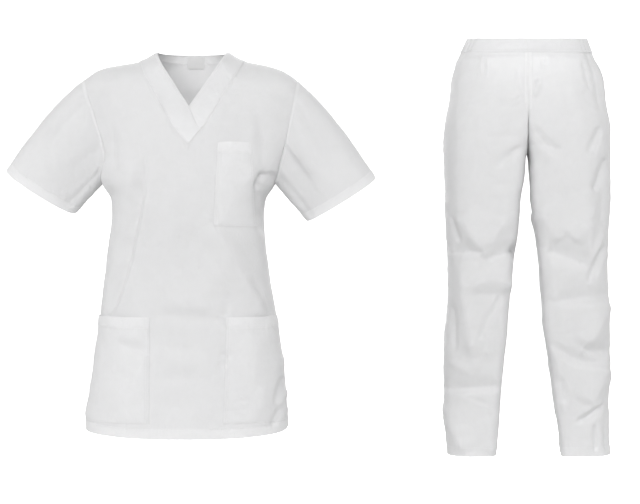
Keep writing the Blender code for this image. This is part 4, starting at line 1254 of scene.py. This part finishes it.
def dress_trousers(cloth, double, thread):
    """Every piece of the trousers, with its stitches."""
    lines = []
    for side, hand in ((-1, "right"), (1, "left")):
        for face, where in ((-1, "front"), (1, "back")):
            panel = leg_panel(side, face)
            dress_leg(panel, side, face, 70 + side + 3 * face)
            name = f"trouser_{where}_{hand}"
            piece = cloth_piece(name + "_cloth", panel, cloth)
            cloth_sheet(piece, "cloth", name, LEG_CUT, round(area_of(panel), 4))
            inner = seam_edges(side, face)[1]
            lines += [panel.line("bottom", TROUSER_BAND), panel.line(inner, LEG_ROW)]
            if face < 0:
                lines.append(panel.line(inner, STRIP_WIDE, 0.80, 1.0))
    for name, panel, held_as in (
        ("waistband_front", flat_band_panel(), "stretched"), ("waistband_back", elastic_panel(), "gathered"),
    ):
        piece = cloth_piece(name + "_cloth", panel, double, WAIST_THICK)
        cloth_sheet(piece, "double_cloth", name, *cut_of(panel), held_as)
        lines.append(panel.line("bottom", WAIST_ROW))
    stitching_piece("trouser_stitching", lines, thread)


# Stage, light and camera
CAMERA_AT = (0.2586, -3.0, -0.3994)
FRAME_WIDE = 1.28
SENSOR = 36.0
FLOOR_Z = -1.25
MIDDLE = (0.27, 0.1, -0.4)


def aim(obj, target):
    way = np.array(target) - np.array(obj.location)
    flat = math.hypot(way[0], way[1])
    obj.rotation_euler = (math.atan2(flat, -way[2]), 0, math.atan2(-way[0], way[1]))


def area_light(name, place, target, size, power):
    lamp = bpy.data.lights.new(name, "AREA")
    lamp.shape = "SQUARE"
    lamp.size = size
    lamp.energy = power
    obj = placed(name, lamp)
    obj.location = place
    aim(obj, target)
    obj.visible_camera = False


def stage_piece(name, points, faces, material):
    obj = plain_piece(name, points, faces, material)
    obj.visible_diffuse = False


def build_stage():
    """A pale floor, and a white sweep far behind."""
    paint = (0.9, 0.9, 0.9, 1)
    pale = new_material("pale_floor", Base_Color=paint, Roughness=1.0, Specular_IOR_Level=0.0)[0]
    white = new_material(
        "white_sweep", Base_Color=paint, Specular_IOR_Level=0.0,
        Emission_Color=(1, 1, 1, 1), Emission_Strength=1.0,
    )[0]
    wide, near, far, level, radius, top = 6.0, -6.0, 2.0, 6.0, 2.0, 7.5
    floor = [(-wide, near, FLOOR_Z), (wide, near, FLOOR_Z), (wide, far, FLOOR_Z), (-wide, far, FLOOR_Z)]
    stage_piece("floor", floor, [(0, 1, 2, 3)], pale)
    profile = [
        (far + radius * math.sin(t) + level * (t > 0), FLOOR_Z + radius * (1 - math.cos(t)))
        for t in np.linspace(0, math.pi / 2, 13)
    ]
    profile.append((profile[-1][0], top))
    points = [(x, y, z) for y, z in profile for x in (-2 * wide, 2 * wide)]
    faces = [(2 * i, 2 * i + 1, 2 * i + 3, 2 * i + 2) for i in range(len(profile) - 1)]
    stage_piece("backdrop", points, faces, white)


def build_light():
    """Soft lamps in front, at the sides and behind, in a pale room."""
    scene = bpy.context.scene
    scene.world = bpy.data.worlds.new("studio")
    scene.world.use_nodes = True
    set_all(scene.world.node_tree.nodes["Background"], Color=(1.0, 1.0, 1.0, 1), Strength=0.53)
    for name, place, size, power in (
        ("key", (0.9, -8.0, 2.4), 3.0, 312),
        ("front_fill", (-0.9, -7.0, -0.5), 2.0, 118),
        ("left_fill", (-5.2, -1.8, -0.1), 3.0, 55),
        ("right_fill", (6.0, -2.4, -0.1), 3.0, 30),
        ("back_fill", (0.3, 4.2, 1.8), 2.4, 200),
    ):
        area_light(name, place, MIDDLE, size, power)
    scene.view_settings.view_transform = "Standard"


def build_camera():
    camera = bpy.data.cameras.new("camera")
    camera.sensor_width = SENSOR
    camera.lens = SENSOR * -CAMERA_AT[1] / FRAME_WIDE
    obj = placed("camera", camera)
    obj.location = CAMERA_AT
    obj.rotation_euler = (math.pi / 2, 0, 0)
    bpy.context.scene.camera = obj


def main():
    build_camera()
    # The tunic's poplin is the same cloth as the trousers' but is painted darker: painted shade that offsets
    # the stronger lamp light falling on the tunic.
    cloth = cloth_material("tunic_poplin_painted_shade", (0.685, 0.685, 0.69, 1), (0.75, 0.75, 0.755, 1), 55.0)
    leg_cloth = cloth_material("trouser_poplin", (0.73, 0.73, 0.735, 1), (0.79, 0.79, 0.795, 1), 55.0)
    double = cloth_material("poplin_double", (0.68, 0.68, 0.685, 1), (0.745, 0.745, 0.75, 1), 70.0)
    label_cloth = cloth_material("label_satin", (0.84, 0.84, 0.84, 1), (0.86, 0.86, 0.86, 1), 30.0, 0.2)
    thread = thread_material()
    dress_tunic(cloth, double, label_cloth, thread)
    dress_trousers(leg_cloth, double, thread)
    build_stage()
    build_light()


main()
